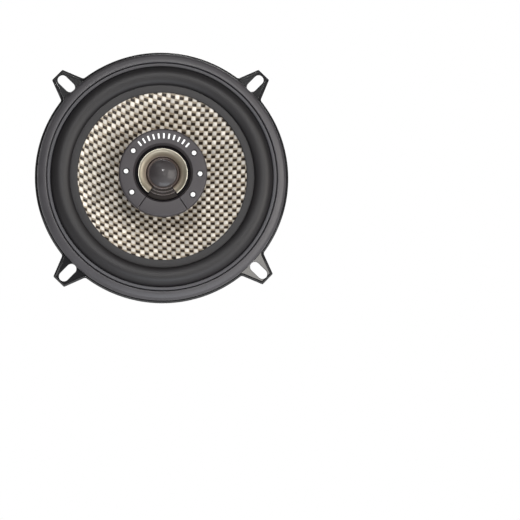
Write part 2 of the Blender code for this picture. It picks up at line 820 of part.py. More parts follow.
def make_diaphragm(materials):
    """The dome with its coil, and the thin ring that lets them move."""
    thickness = 0.3
    steps = 4
    height, base = 2.1, -13.6
    front = []
    for i in range(steps + 1):
        turn = math.pi / 2 * i / steps
        front.append((DOME_R * math.sin(turn), base - height * math.cos(turn)))
    front[0] = (0, base - height)
    back = [(max(0.0, (r - thickness)), y + thickness) for r, y in reversed(front)]
    back[-1] = (0, base - height + thickness)
    rim = [(DOME_R, base + thickness)]
    turned("tweeter_dome", front + rim + back, materials["dome_film"], SMALL)
    turned("tweeter_coil", ring_profile(6.45, 6.95, -12.9, -10.6), materials["copper"], SMALL)
    flexure = ring_profile(7.0, 8.3, -13.55, -13.2)
    turned("tweeter_surround", flexure, materials["champagne_film"], SMALL)


def build():
    clear_scene()
    materials = make_materials()
    make_terminal_frame()
    paint, rubber = materials["black_paint"], materials["surround_rubber"]
    steel, tinned = materials["plated_steel"], materials["tinned_metal"]
    make_flange(paint)
    make_basket(paint)
    make_front_rings(materials["grey_gasket"], materials["grey_gasket"])
    make_surround(rubber)
    make_cone(materials["woven_cone"])
    make_coil(materials["coil_former"], materials["copper"])
    make_spider(materials["spider_cloth"], materials["bezel_plastic"])
    make_motor(steel, materials["ferrite"])
    make_rivets(steel)
    make_cover(materials["black_vinyl"], materials["label_black"])
    make_terminals(materials["fibre_board"], tinned)
    make_leads(materials["lead_insulation"])
    make_resistor(materials["resistor_enamel"], tinned)
    make_tinsel_leads(materials["copper"])
    make_tweeter_housing(materials["bezel_plastic"], steel)
    make_bezel(materials["bezel_plastic"], materials["white_plastic"])
    make_tweeter_drive(materials)
    make_diaphragm(materials)


build()
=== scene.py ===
"""The looks of the two-way coaxial car speaker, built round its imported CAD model.

Shapes are written in millimetres in the CAD frame (the front faces -Y, +Z is up) and become
metres when a mesh is made. Turned shapes are profiles of (radius, y) points.
"""

from math import asin, atan2, cos, degrees, pi, radians, sin, sqrt, tan

import bmesh
import bpy
import numpy as np
from mathutils import Matrix, Vector, noise


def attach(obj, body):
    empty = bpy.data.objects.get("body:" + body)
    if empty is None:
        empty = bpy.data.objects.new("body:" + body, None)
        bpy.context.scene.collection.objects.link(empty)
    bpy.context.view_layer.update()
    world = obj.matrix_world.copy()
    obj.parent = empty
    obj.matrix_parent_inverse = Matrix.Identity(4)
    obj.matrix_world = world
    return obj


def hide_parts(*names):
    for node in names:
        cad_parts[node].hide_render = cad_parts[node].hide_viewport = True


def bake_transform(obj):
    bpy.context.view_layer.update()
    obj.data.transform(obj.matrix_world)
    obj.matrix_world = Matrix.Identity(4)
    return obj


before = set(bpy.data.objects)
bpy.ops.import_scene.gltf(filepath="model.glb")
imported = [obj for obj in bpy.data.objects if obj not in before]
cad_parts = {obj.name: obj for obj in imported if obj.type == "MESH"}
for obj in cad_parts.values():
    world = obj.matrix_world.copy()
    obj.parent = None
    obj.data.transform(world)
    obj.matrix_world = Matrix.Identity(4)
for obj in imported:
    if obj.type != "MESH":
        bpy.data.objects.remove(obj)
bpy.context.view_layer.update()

MM = 0.001
CHASSIS, MOVING, DIAPHRAGM = "chassis", "moving_cone", "tweeter_diaphragm"

# Flange and ears.
FLANGE_R = 65.0
EAR_ANGLES = (45, 135, 225, 315)
EAR_TIP_R = 75.4
EAR_TIP_HALF = 3.8
EAR_ROOT_HALF = 8.1
SLOT_R = 68.9
SLOT_LENGTH = 10.4
SLOT_WIDTH = 5.1

# Bowl.
WALL_R = 50.0  # where the openings' widths are measured
OPENING_HALF = 32.0
OPENING_Y = (8.8, 21.8)
SMALL_OPENING_Y = (9.2, 22.6)
RIVET_CIRCLE_R = 25.0
RIVET_R = 1.9

# Moving parts.
CONE_FOLD_R = 43.4
CONE_FRONT_Y = -4.3
CONE_T = 0.6
NECK_R = 12.95
NECK_Y = 12.1
ROLL_INNER = (47.0, -4.9)
ROLL_OUTER = (56.8, -2.6)
ROLL_CREST = (51.9, -7.9)
SPIDER_Y = 15.25

# Woven cloth: its yarns are counted by polynomials of x and z in millimetres.
WARP = {"x": 0.4386, "xxx": 5.66e-6, "z": -0.0155, "zz": -0.00024}
WEFT = {"x": 0.0875, "xx": -0.00125, "z": 0.4425, "zz": -0.00024, "xz": 0.0003}
# The gap is a real dip in the cloth; its dark colour is partly a dark yarn and partly painted shade.
SHADED_GAP_SHARE = 0.68  # how much of a cell's height its dark gap takes
YARN_CROWN = 0.45  # the power that flattens a yarn's top

# Motor cover and label.
COVER_BACK_Y = 42.0
LABEL_R = 36.1
LABEL_FACE_Y = 42.6
LEAD_SLOT_HALF = 2.25

# Tweeter.
BEZEL_FRONT_Y = -16.8
BEZEL_R = (14.6, 22.3)
WEDGE_ANGLES = (234.0, 303.0)
STUD_ANGLES = (143.0, 177.3, 211.8, 32.3, -2.2, -37.1)
STUD_R = 1.2
STUD_CIRCLE_R = 18.6
DOME_R = 6.7

# Terminals, in the board's own frame: x across, y outwards, z towards the rear.
BOARD_CENTRE = (0.0, 17.5, -53.7)
BOARD_TILT = 22.0
BOARD_SIZE = (31.0, 1.5, 10.5)
TAB_T = 0.8
EYELET_R = 2.1
TAB_BEND_X = 15.9
TAB_TIP_X = 24.2
TAB_ANGLE = 20.0
RESISTOR_CENTRE = (-3.3, 28.3, -51.0)
RESISTOR_R = 3.1
RESISTOR_HALF = 9.4
LEAD_R = 0.8
LEAD_X = 0.95
WIRE_R = 0.4
TINSEL_R = 0.5

ROUND = 256  # segments of a large turned piece
SMALL_ROUND = 96
LOOK_ENDING = "_look"

# Camera and studio.
CAMERA_AZIMUTH = -1.1
CAMERA_ELEVATION = -8.3
CAMERA_ROLL = -1.07
CAMERA_DISTANCE = 0.746
CAMERA_LENS = 100.0
AIM_RIGHT = 0.0499  # how far the view's centre lies from the speaker's, in metres
AIM_DOWN = 0.0433
FLOOR_Z = -0.4
FLOOR_R = 2.2


# ---- shapes in two dimensions


def fillet(corners, steps=6, closed=True):
    """A polygon of (x, y, radius) corners with each corner rounded by an arc of that radius."""
    points = []
    count = len(corners)
    for i, (x, y, radius) in enumerate(corners):
        here = Vector((x, y))
        if radius <= 0 or (not closed and i in (0, count - 1)):
            points.append((x, y))
            continue
        before = Vector(corners[i - 1][:2]) - here
        after = Vector(corners[(i + 1) % count][:2]) - here
        half = before.angle(after) / 2
        reach = min(radius / tan(half), 0.49 * before.length, 0.49 * after.length)
        radius = reach * tan(half)
        centre = here + (before.normalized() + after.normalized()).normalized() * radius / sin(half)
        first = here + before.normalized() * reach - centre
        last = here + after.normalized() * reach - centre
        turn = first.angle_signed(last)
        for k in range(steps + 1):
            arm = Matrix.Rotation(-turn * k / steps, 2) @ first
            points.append(tuple(centre + arm))
    return points


def stadium(half_length, half_width, steps=12):
    """A slot's outline in its own plane, along its first axis."""
    points = []
    for side in (1, -1):
        for k in range(steps + 1):
            turn = radians(-90 + 180 * k / steps)
            x = side * (half_length - half_width + half_width * cos(turn))
            points.append((x, side * half_width * sin(turn)))
    return points


def rectangle(xs, zs, radius):
    """A rectangle between two values each way, with round corners."""
    (x1, x2), (z1, z2) = xs, zs
    return fillet([(x1, z1, radius), (x2, z1, radius), (x2, z2, radius), (x1, z2, radius)])


def polar(radius, turn):
    return radius * cos(turn), radius * sin(turn)


def circle(radius, steps, centre=(0.0, 0.0)):
    points = [polar(radius, 2 * pi * k / steps) for k in range(steps)]
    return [(centre[0] + x, centre[1] + z) for x, z in points]


def spun(points, angle):
    """Turns (x, z) points by that many degrees, from +X towards +Z."""
    along, across = polar(1.0, radians(angle))
    return [(x * along - z * across, x * across + z * along) for x, z in points]


def at_depth(outline, y):
    return [(x, y, z) for x, z in outline]


def around(radius, y, turn):
    """A point of a turned shape."""
    return radius * cos(turn), y, radius * sin(turn)


def smooth_route(points, spacing):
    """Points about that far apart along a smooth curve through the given points."""
    route = [Vector(p) for p in points]
    padded = [2 * route[0] - route[1], *route, 2 * route[-1] - route[-2]]
    found = [route[0]]
    for a, b, c, d in zip(padded, padded[1:], padded[2:], padded[3:]):
        steps = max(1, round((c - b).length / spacing))
        for k in range(1, steps + 1):
            t = k / steps
            linear = 2 * b + (c - a) * t
            found.append(0.5 * (linear + (2 * a - 5 * b + 4 * c - d) * t**2 + (3 * b - a - 3 * c + d) * t**3))
    return found


# ---- meshes


def linked(name, data):
    obj = bpy.data.objects.new(name, data)
    bpy.context.scene.collection.objects.link(obj)
    return obj


def shade(mesh, sharp):
    """Smooth, but for the edges past that many degrees."""
    mesh.shade_smooth()
    mesh.set_sharp_from_angle(angle=radians(sharp))


def tidy_object(name, mesh, sharp):
    """An object from a mesh, with doubled points joined and faces outwards."""
    shape = bmesh.new()
    shape.from_mesh(mesh)
    bmesh.ops.remove_doubles(shape, verts=shape.verts, dist=1e-7)
    bmesh.ops.recalc_face_normals(shape, faces=shape.faces)
    shape.to_mesh(mesh)
    shape.free()
    shade(mesh, sharp)
    return linked(name, mesh)


def loops_object(name, loops, ring=False, sharp=35.0):
    """Joins loops of equally many points by quads. The last loop meets the first one if ring is set."""
    count = len(loops[0])
    points = [p for loop in loops for p in loop]
    faces = []
    for i in range(len(loops) if ring else len(loops) - 1):
        low, high = i * count, (i + 1) % len(loops) * count
        for k in range(count):
            n = (k + 1) % count
            faces.append((low + k, low + n, high + n, high + k))
    if not ring:
        faces.append(tuple(reversed(range(count))))
        faces.append(tuple(range(len(points) - count, len(points))))
    mesh = bpy.data.meshes.new(name)
    mesh.from_pydata([tuple(c * MM for c in p) for p in points], [], faces)
    mesh.update()
    return tidy_object(name, mesh, sharp)


def turned(name, profile, steps=ROUND, start=0.0, sweep=360.0):
    """Turns a closed profile about the Y axis. Angles run from +X towards +Z."""
    whole = sweep >= 360.0
    count = steps if whole else steps + 1
    turns = [radians(start + sweep * k / steps) for k in range(count)]
    return loops_object(name, [[around(r, y, t) for r, y in profile] for t in turns], whole)


def prism(name, outline, near, far):
    """Between two copies of an (x, z) outline, at y near and y far."""
    return loops_object(name, [at_depth(outline, y) for y in (near, far)])


def joined(name, objects, sharp=35.0):
    """One object from several."""
    shape = bmesh.new()
    for obj in objects:
        shape.from_mesh(obj.data)
        bpy.data.objects.remove(obj)
    mesh = bpy.data.meshes.new(name)
    shape.to_mesh(mesh)
    shape.free()
    shade(mesh, sharp)
    return linked(name, mesh)


def settle(obj, sharp=35.0):
    """Replaces an object's mesh by what its modifiers make of it."""
    graph = bpy.context.evaluated_depsgraph_get()
    mesh = bpy.data.meshes.new_from_object(obj.evaluated_get(graph))
    obj.modifiers.clear()
    obj.data = mesh
    shade(mesh, sharp)
    return obj


def boolean(target, tool, operation="DIFFERENCE"):
    """Cuts or joins the tool, which is then removed."""
    bpy.context.view_layer.update()
    modifier = target.modifiers.new(operation.lower(), "BOOLEAN")
    modifier.operation = operation
    modifier.object = tool
    modifier.solver = "MANIFOLD"
    settle(target)
    bpy.data.objects.remove(tool)


def soften(obj, width, angle=40.0):
    """Rounds an object's sharp edges."""
    modifier = obj.modifiers.new("soften", "BEVEL")
    modifier.width = width * MM
    modifier.segments = 2
    modifier.limit_method = "ANGLE"
    modifier.angle_limit = radians(angle)
    settle(obj)


def tube(name, points, radius, spacing, sides, twist=(0, 0.0, 0.0)):
    """A round wire along a smooth route, with domed ends. twist is (strands, turns per mm, depth)."""
    strands, pitch, depth = twist
    route = smooth_route(points, spacing)
    across = Vector((0, 0, 1)).orthogonal()
    loops = []
    length = 0.0
    for i, here in enumerate(route):
        before = route[max(i - 1, 0)]
        along = (route[min(i + 1, len(route) - 1)] - before).normalized()
        across = (across - along * across.dot(along)).normalized()
        up = along.cross(across)
        length += (here - before).length
        loop = []
        for k in range(sides):
            turn = 2 * pi * k / sides
            strand = abs(cos(strands * (turn + 2 * pi * pitch * length) / 2))
            r = radius - depth + depth * strand
            loop.append(here + (across * cos(turn) + up * sin(turn)) * r)
        loops.append(loop)
    tips = []
    for end, neighbour in ((0, 1), (-1, -2)):
        outwards = (route[end] - route[neighbour]).normalized()
        tips.append([p * 0.5 + route[end] * 0.5 + outwards * radius * 0.4 for p in loops[end]])
    return loops_object(name, [tips[0], *loops, tips[1]], False, 60.0)


def lump(name, centre, size, seed):
    """A solder lump: an uneven ball, flattened by its size along each axis."""
    shape = bmesh.new()
    bmesh.ops.create_icosphere(shape, subdivisions=3, radius=1.0)
    for vert in shape.verts:
        swell = 1 + 0.28 * noise.noise(vert.co * 1.3 + Vector((seed, 0, 0)))
        swell += 0.12 * noise.noise(vert.co * 3.1 + Vector((0, seed, 0)))
        vert.co = Vector([centre[i] + vert.co[i] * swell * size[i] for i in range(3)]) * MM
    mesh = bpy.data.meshes.new(name)
    shape.to_mesh(mesh)
    shape.free()
    return tidy_object(name, mesh, 80.0)


def flowed(obj):
    """Runs overlapping lumps together into one smooth body."""
    remesh = obj.modifiers.new("remesh", "REMESH")
    remesh.mode = "VOXEL"
    remesh.voxel_size = 0.14 * MM
    smooth = obj.modifiers.new("smooth", "SMOOTH")
    smooth.factor = 0.6
    smooth.iterations = 7
    bpy.context.view_layer.update()
    return settle(obj, 80.0)


# ---- materials


def node(tree, kind, inputs=None, **settings):
    made = tree.nodes.new("ShaderNode" + kind)
    for key, value in settings.items():
        setattr(made, key, value)
    for key, value in (inputs or {}).items():
        if isinstance(value, bpy.types.NodeSocket):
            tree.links.new(value, made.inputs[key])
        else:
            made.inputs[key].default_value = value
    return made


def maths(tree, operation, first, second=0.0, third=0.0):
    return node(tree, "Math", {0: first, 1: second, 2: third}, operation=operation).outputs[0]


def blank(name, roughness, metallic=0.0, **sockets):
    """A new finish. Its ending keeps its name apart from those of the CAD model's materials."""
    material = bpy.data.materials.new(name + LOOK_ENDING)
    material.use_nodes = True
    shader = material.node_tree.nodes["Principled BSDF"]
    for key, value in {"roughness": roughness, "metallic": metallic, **sockets}.items():
        shader.inputs[key.replace("_", " ").title().replace("Ior", "IOR")].default_value = value
    return material, material.node_tree, shader


def place(tree, stretch=(1, 1, 1)):
    """Object coordinates in millimetres, stretched."""
    coordinates = node(tree, "TexCoord").outputs["Object"]
    scale = Vector(stretch) / MM
    return node(tree, "VectorMath", {0: coordinates, 1: scale}, operation="MULTIPLY").outputs[0]


def noise_at(tree, where, scale, detail=3.0, roughness=0.6):
    inputs = {"Vector": where, "Scale": scale, "Detail": detail, "Roughness": roughness}
    return node(tree, "TexNoise", inputs).outputs["Fac"]


def times(tree, first, *others):
    for other in others:
        first = maths(tree, "MULTIPLY", first, other)
    return first


def wobble(tree, where, scale, size, detail=3.0):
    """Noise about zero."""
    return times(tree, maths(tree, "SUBTRACT", noise_at(tree, where, scale, detail), 0.5), size)


def mixed(tree, factor, first, second):
    """One colour over another. The first can be a socket."""
    if not isinstance(first, bpy.types.NodeSocket):
        first = (*first, 1.0)
    return node(tree, "Mix", {0: factor, 6: first, 7: (*second, 1.0)}, data_type="RGBA").outputs[2]


def ramp(tree, factor, *stops):
    """A colour for each value, through (position, (r, g, b)) stops in rising order."""
    made = node(tree, "ValToRGB", {0: factor})
    elements = made.color_ramp.elements
    for element, (position, colour) in zip(elements, (stops[0], stops[-1])):
        element.position = position
        element.color = (*colour, 1.0)
    for position, colour in stops[1:-1]:
        elements.new(position).color = (*colour, 1.0)
    return made.outputs[0]


def emboss(tree, shader, height, depth, strength=1.0):
    """Relief of that depth in millimetres."""
    relief = node(tree, "Bump", {"Height": height, "Distance": depth * MM, "Strength": strength})
    tree.links.new(relief.outputs[0], shader.inputs["Normal"])


def spread(tree, value, low, high):
    """Maps a noise value's usual range of 0.3 to 0.7 to low..high."""
    inputs = {"Value": value, "From Min": 0.3, "From Max": 0.7, "To Min": low, "To Max": high}
    return node(tree, "MapRange", inputs).outputs[0]


def surface(name, dark, light, roughness, metallic=0.0, grain=0.5, bump=0.03, patch=0.05,
            stretch=(1, 1, 1), **sockets):
    """A finish between two colours: broad patches, a fine grain in colour and relief, uneven gloss.

    grain is the grain's size in millimetres, bump its depth, and roughness a (low, high) pair.
    """
    material, tree, shader = blank(name, roughness[0], metallic, **sockets)
    where = place(tree, stretch)
    broad = noise_at(tree, where, patch)
    fine = noise_at(tree, where, 1 / grain)
    both = maths(tree, "MULTIPLY_ADD", fine, 0.5, times(tree, broad, 0.5))
    colour = mixed(tree, spread(tree, both, 0.0, 1.0), dark, light)
    tree.links.new(colour, shader.inputs["Base Color"])
    tree.links.new(spread(tree, broad, *roughness), shader.inputs["Roughness"])
    emboss(tree, shader, fine, bump)
    return material


def yarn_count(terms, x, z):
    """Yarns counted across the woven cloth at (x, z) in millimetres, as it lies on the cone."""
    return sum(factor * x ** powers.count("x") * z ** powers.count("z") for powers, factor in terms.items())


def yarn_nodes(tree, terms, x, z):
    """The same count, from sockets."""
    total = 0.0
    for powers, factor in terms.items():
        sockets = [{"x": x, "z": z}[letter] for letter in powers]
        total = maths(tree, "ADD", total, times(tree, *sockets, factor))
    return total


def weave_material():
    """Plain weave: ivory yarns stand proud beside dark gaps, dark partly from a dark yarn and partly from
    painted shade; colour follows height, with painted shade at the yarns' edges and a painted highlight on
    their crowns.
    """
    material, tree, shader = blank("woven_cone", 0.5, specular_ior_level=0.3, coat_weight=0.1,
                                   coat_roughness=0.2)
    where = place(tree)
    parts = node(tree, "SeparateXYZ", {0: where}).outputs
    warp, weft = [yarn_nodes(tree, terms, parts[0], parts[2]) for terms in (WARP, WEFT)]
    waves = [maths(tree, "SINE", times(tree, count, pi)) for count in (warp, weft)]
    proud = maths(tree, "GREATER_THAN", times(tree, *waves), 0.0)
    reach = maths(tree, "MINIMUM", maths(tree, "DIVIDE", maths(tree, "FRACT", weft), SHADED_GAP_SHARE), 1.0)
    gap = maths(tree, "SINE", times(tree, reach, pi))
    heights = [maths(tree, "ABSOLUTE", wave) for wave in waves]
    rise = times(tree, *heights, proud)
    fall = times(tree, heights[0], gap, maths(tree, "SUBTRACT", 1.0, proud))
    rise, fall = [maths(tree, "POWER", height, YARN_CROWN) for height in (rise, fall)]
    level = maths(tree, "ADD", maths(tree, "SUBTRACT", rise, fall), wobble(tree, where, 0.6, 0.5, 1.0))
    # Colour by height: painted shade in the gaps and towards the yarns' edges, and a painted highlight on the
    # yarns' crowns.
    colour = ramp(
        tree, maths(tree, "MULTIPLY_ADD", level, 0.5, 0.5),
        (0.20, (0.022, 0.013, 0.007)), (0.30, (0.055, 0.038, 0.022)), (0.40, (0.20, 0.155, 0.105)),
        (0.52, (0.36, 0.30, 0.225)), (0.72, (0.60, 0.54, 0.45)), (0.93, (0.80, 0.755, 0.69)))
    strands = node(tree, "CombineXYZ", {0: times(tree, warp, 9.0), 1: times(tree, weft, 1.3)})
    fibre = noise_at(tree, strands.outputs[0], 1.0, 2.0)
    cell = node(tree, "CombineXYZ", {0: maths(tree, "FLOOR", warp), 1: maths(tree, "FLOOR", weft)})
    chance = node(tree, "TexWhiteNoise", {"Vector": cell.outputs[0]}, noise_dimensions="3D").outputs["Value"]
    value = times(tree, spread(tree, fibre, 0.84, 1.12), maths(tree, "MULTIPLY_ADD", chance, 0.4, 0.58))
    varied = node(tree, "HueSaturation", {"Color": colour, "Value": value})
    tree.links.new(varied.outputs[0], shader.inputs["Base Color"])
    emboss(tree, shader, fibre, 0.05, 0.7)
    return material


def dish_material():
    """A metallised dish: brown where it is deep, with a painted highlight in cream along its raised rim."""
    material, tree, shader = blank("champagne_film", 0.36, 0.5)
    where = place(tree)
    flat = node(tree, "VectorMath", {0: where, 1: (1.0, 0.0, 1.0)}, operation="MULTIPLY").outputs[0]
    radius = node(tree, "VectorMath", {0: flat}, operation="LENGTH").outputs["Value"]
    share = node(tree, "MapRange", {"Value": radius, "From Min": 8.5, "From Max": 12.4}).outputs[0]
    # The last stop, cream at the raised rim, is a painted highlight.
    colour = ramp(
        tree, maths(tree, "ADD", share, wobble(tree, where, 0.5, 0.12)),
        (0.0, (0.07, 0.05, 0.035)), (0.3, (0.11, 0.09, 0.065)), (0.6, (0.20, 0.175, 0.13)),
        (0.84, (0.30, 0.27, 0.21)), (0.93, (0.42, 0.39, 0.31)), (1.0, (0.85, 0.81, 0.68)))
    tree.links.new(colour, shader.inputs["Base Color"])
    return material


def enamel_material():
    """The resistor's enamel, with four painted rings at shares of its half length."""
    material, tree, shader = blank("resistor_enamel", 0.32, coat_weight=0.3, coat_roughness=0.15)
    body = (0.84, 0.79, 0.80)
    where = place(tree)
    x = node(tree, "SeparateXYZ", {0: where}).outputs[0]
    x = maths(tree, "ADD", x, wobble(tree, where, 0.8, 0.35))
    patches = spread(tree, noise_at(tree, where, 0.5), 0.0, 1.0)
    colour = mixed(tree, patches, body, tuple(0.86 * c for c in body))
    for share, half_width, band in (
        (0.70, 0.42, (0.62, 0.05, 0.10)), (0.34, 0.42, (0.64, 0.05, 0.10)),
        (-0.04, 0.26, (0.62, 0.42, 0.22)), (-0.76, 0.26, (0.50, 0.30, 0.26)),
    ):
        centre = RESISTOR_CENTRE[0] + share * RESISTOR_HALF
        away = maths(tree, "ABSOLUTE", maths(tree, "SUBTRACT", x, centre))
        colour = mixed(tree, maths(tree, "LESS_THAN", away, half_width), colour, band)
    tree.links.new(colour, shader.inputs["Base Color"])
    emboss(tree, shader, noise_at(tree, where, 3.0), 0.02)
    return material


def make_materials():
    return [
        surface("black_paint", (0.006, 0.006, 0.007), (0.01, 0.01, 0.011), (0.10, 0.14),
                grain=1.8, bump=0.002, patch=0.03, coat_weight=0.3, coat_roughness=0.06),
        surface("gasket_grey", (0.028, 0.026, 0.029), (0.045, 0.042, 0.047), (0.44, 0.52),
                grain=0.4, bump=0.012, patch=0.08, specular_ior_level=0.6),
        surface("clamp_plastic", (0.038, 0.037, 0.042), (0.052, 0.051, 0.057), (0.5, 0.58),
                grain=0.4, bump=0.008),
        surface("surround_rubber", (0.007, 0.006, 0.007), (0.012, 0.011, 0.012), (0.48, 0.52),
                bump=0.004, specular_ior_level=0.41),
        weave_material(),
        surface("spider_cloth", (0.30, 0.19, 0.07), (0.50, 0.34, 0.14), (0.75, 0.9), grain=0.45, bump=0.12),
        surface("coil_former", (0.30, 0.17, 0.07), (0.42, 0.26, 0.12), (0.3, 0.45), grain=2.0),
        surface("copper", (0.62, 0.25, 0.11), (0.78, 0.36, 0.18), (0.25, 0.4), 1.0,
                grain=0.3, bump=0.02, stretch=(1, 4, 1)),
        surface("plated_steel", (0.42, 0.42, 0.40), (0.58, 0.57, 0.53), (0.25, 0.42), 1.0,
                grain=0.7, bump=0.01, stretch=(1, 6, 1)),
        surface("ferrite", (0.03, 0.03, 0.032), (0.05, 0.05, 0.053), (0.55, 0.75), grain=0.4, bump=0.05),
        surface("black_vinyl", (0.006, 0.006, 0.007), (0.01, 0.01, 0.012), (0.07, 0.15),
                grain=3.0, bump=0.02, patch=0.04, coat_weight=0.6, coat_roughness=0.04),
        surface("label_black", (0.006, 0.006, 0.006), (0.01, 0.01, 0.01), (0.42, 0.5),
                grain=0.6, bump=0.004, specular_ior_level=0.3),
        surface("print_white", (0.76, 0.76, 0.76), (0.84, 0.84, 0.84), (0.4, 0.5), bump=0.01),
        surface("print_red", (0.42, 0.012, 0.018), (0.55, 0.02, 0.03), (0.4, 0.5), bump=0.01),
        surface("bezel_plastic", (0.026, 0.022, 0.025), (0.035, 0.030, 0.033), (0.5, 0.6),
                grain=0.3, bump=0.012),
        surface("dark_plastic", (0.01, 0.01, 0.011), (0.018, 0.017, 0.018), (0.42, 0.55), bump=0.02),
        surface("insert_plastic", (0.01, 0.007, 0.006), (0.016, 0.012, 0.01), (0.5, 0.6),
                grain=0.6, bump=0.003, specular_ior_level=0.2),
        surface("matt_black", (0.003, 0.002, 0.003), (0.005, 0.004, 0.005), (0.6, 0.7),
                bump=0.004, specular_ior_level=0.12),
        surface("white_plastic", (0.8, 0.8, 0.79), (0.9, 0.9, 0.89), (0.3, 0.4), bump=0.01),
        dish_material(),
        surface("flexure_film", (0.034, 0.022, 0.018), (0.055, 0.037, 0.031), (0.30, 0.38),
                grain=0.8, bump=0.004),
        surface("dome_film", (0.013, 0.01, 0.011), (0.021, 0.016, 0.017), (0.5, 0.6),
                bump=0.004, patch=0.2, coat_weight=0.26, coat_roughness=0.13),
        surface("fibre_board", (0.055, 0.075, 0.078), (0.085, 0.11, 0.112), (0.45, 0.6), bump=0.03),
        surface("tinned_metal", (0.55, 0.54, 0.50), (0.78, 0.77, 0.73), (0.14, 0.36), 1.0,
                grain=1.1, bump=0.08, patch=0.25),
        surface("solder", (0.60, 0.60, 0.58), (0.86, 0.86, 0.84), (0.08, 0.26), 1.0,
                grain=0.9, bump=0.1, patch=0.4),
        surface("lead_insulation", (0.42, 0.41, 0.38), (0.62, 0.60, 0.56), (0.2, 0.35), 0.25,
                grain=0.4, bump=0.05, stretch=(1, 0.25, 0.25), coat_weight=0.6, coat_roughness=0.08),
        enamel_material(),
        surface("sleeve", (0.01, 0.02, 0.12), (0.02, 0.035, 0.18), (0.2, 0.3), grain=1.5),
    ]


MATERIALS = {made.name.removesuffix(LOOK_ENDING): made for made in make_materials()}


def piece(obj, look, *nodes, slot=None, body=CHASSIS):
    """Gives a piece its finish and its body, and hides the CAD nodes that it stands for. The slot is not
    used.
    """
    obj.data.materials.clear()
    obj.data.materials.append(MATERIALS[look])
    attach(obj, body)
    if nodes:
        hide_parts(*nodes)


# ---- camera, light and floor


def make_camera():
    """Looks up a little at the speaker, which lies left of and above the view's centre."""
    azimuth, elevation = radians(CAMERA_AZIMUTH), radians(CAMERA_ELEVATION)
    level_x, level_y = sin(azimuth), -cos(azimuth)
    back = Vector((level_x * cos(elevation), level_y * cos(elevation), sin(elevation)))
    right = Vector((cos(azimuth), sin(azimuth), 0))
    up = right.cross(-back)
    data = bpy.data.cameras.new("camera")
    data.lens = CAMERA_LENS
    data.sensor_width = 36.0
    data.clip_start = 0.05
    camera = linked("camera", data)
    camera.location = back * CAMERA_DISTANCE
    aim = right * AIM_RIGHT - up * AIM_DOWN
    level = (aim - camera.location).to_track_quat("-Z", "Y").to_matrix()
    camera.rotation_euler = (level @ Matrix.Rotation(radians(CAMERA_ROLL), 3, "Z")).to_euler()
    bpy.context.scene.camera = camera


def area_light(name, place_at, size, power, colour=(1, 1, 1), aim=(0, 0, 0)):
    data = bpy.data.lights.new(name, "AREA")
    data.shape = "RECTANGLE"
    data.size, data.size_y = size
    data.energy = power
    data.color = colour
    light = linked(name, data)
    light.location = place_at
    light.rotation_euler = (Vector(aim) - Vector(place_at)).to_track_quat("-Z", "Y").to_euler()


def make_lights():
    area_light("right_box", (0.95, -1.1, -0.05), (0.9, 1.2), 19.0, (1.0, 0.965, 0.92))
    area_light("low_box", (0.06, -0.36, -0.36), (0.45, 0.1), 1.0, (0.86, 0.92, 1.0))
    area_light("top_box", (-0.3, -0.75, 0.9), (0.6, 0.4), 1.2)
    area_light("ear_card", (0.175, -1.48, 0.067), (0.2, 0.2), 0.7, (1.0, 0.97, 0.92), (0.05, 0, -0.05))
    area_light("front_box", (0.03, -1.12, 0.42), (0.13, 0.11), 5.0)
    area_light("rear_box", (0.3, 0.9, 0.7), (0.7, 0.7), 10.0)
    area_light("rear_left_box", (-0.9, 0.5, 0.2), (0.25, 0.9), 4.0)
    area_light("rear_low_box", (0.2, 0.7, -0.32), (0.9, 0.3), 3.0)


def make_world():
    """White behind the speaker, and a dimmer light on it from all round."""
    world = bpy.data.worlds.new("studio")
    world.use_nodes = True
    tree = world.node_tree
    tree.nodes.clear()
    seen, lit = [
        node(tree, "Background", {"Color": (1, 1, 1, 1), "Strength": strength}) for strength in (1.0, 0.16)
    ]
    is_camera = node(tree, "LightPath").outputs["Is Camera Ray"]
    mix = node(tree, "MixShader", {0: is_camera, 1: lit.outputs[0], 2: seen.outputs[0]})
    output = node(tree, "OutputWorld")
    tree.links.new(mix.outputs[0], output.inputs[0])
    bpy.context.scene.world = world
    bpy.context.scene.view_settings.view_transform = "Standard"


def make_floor():
    top = FLOOR_Z / MM
    disc = circle(FLOOR_R / MM, 96)
    floor = loops_object("floor", [[(x, y, z) for x, y in disc] for z in (top, top - 2)])
    white = surface("floor", (0.24, 0.24, 0.24), (0.26, 0.26, 0.26), (0.7, 0.8), grain=5.0,
                    emission_color=(1, 1, 1, 1), emission_strength=0.74)
    floor.data.materials.append(white)


# ---- basket


def ear_half(inset, steps=8):
    """Half an ear's edge in (along, across), from its tip's middle to the flange, moved inwards."""
    root = Vector((sqrt(FLANGE_R**2 - EAR_ROOT_HALF**2), EAR_ROOT_HALF))
    tip = Vector((EAR_TIP_R, EAR_TIP_HALF))
    along = (tip - root).normalized()
    inwards = Vector((along.y, -along.x))
    start = root + inwards * inset
    tip_u = EAR_TIP_R - inset
    corner = start + along * (tip_u - start.x) / along.x
    ring_r = FLANGE_R - inset
    b = start.dot(along)
    foot = start + along * (-b + sqrt(b * b - start.length_squared + ring_r**2))
    tangent = Vector((-foot.y, foot.x)).normalized()
    beyond = foot + tangent * 8
    outline = fillet([
        (tip_u, 0, 0), (*corner, max(0.7 - inset, 0.08)), (*foot, 1.6 + inset), (*beyond, 0)
    ], steps, False)[:-1]
    side = [Vector(p) for p in outline]
    extra = [side[steps + 1].lerp(side[steps + 2], k / 6) for k in range(1, 6)]
    tip_extra = [side[0].lerp(side[1], k / 3) for k in range(1, 3)]
    return [tuple(p) for p in [side[0], *tip_extra, *side[1:steps + 2], *extra, *side[steps + 2:]]]


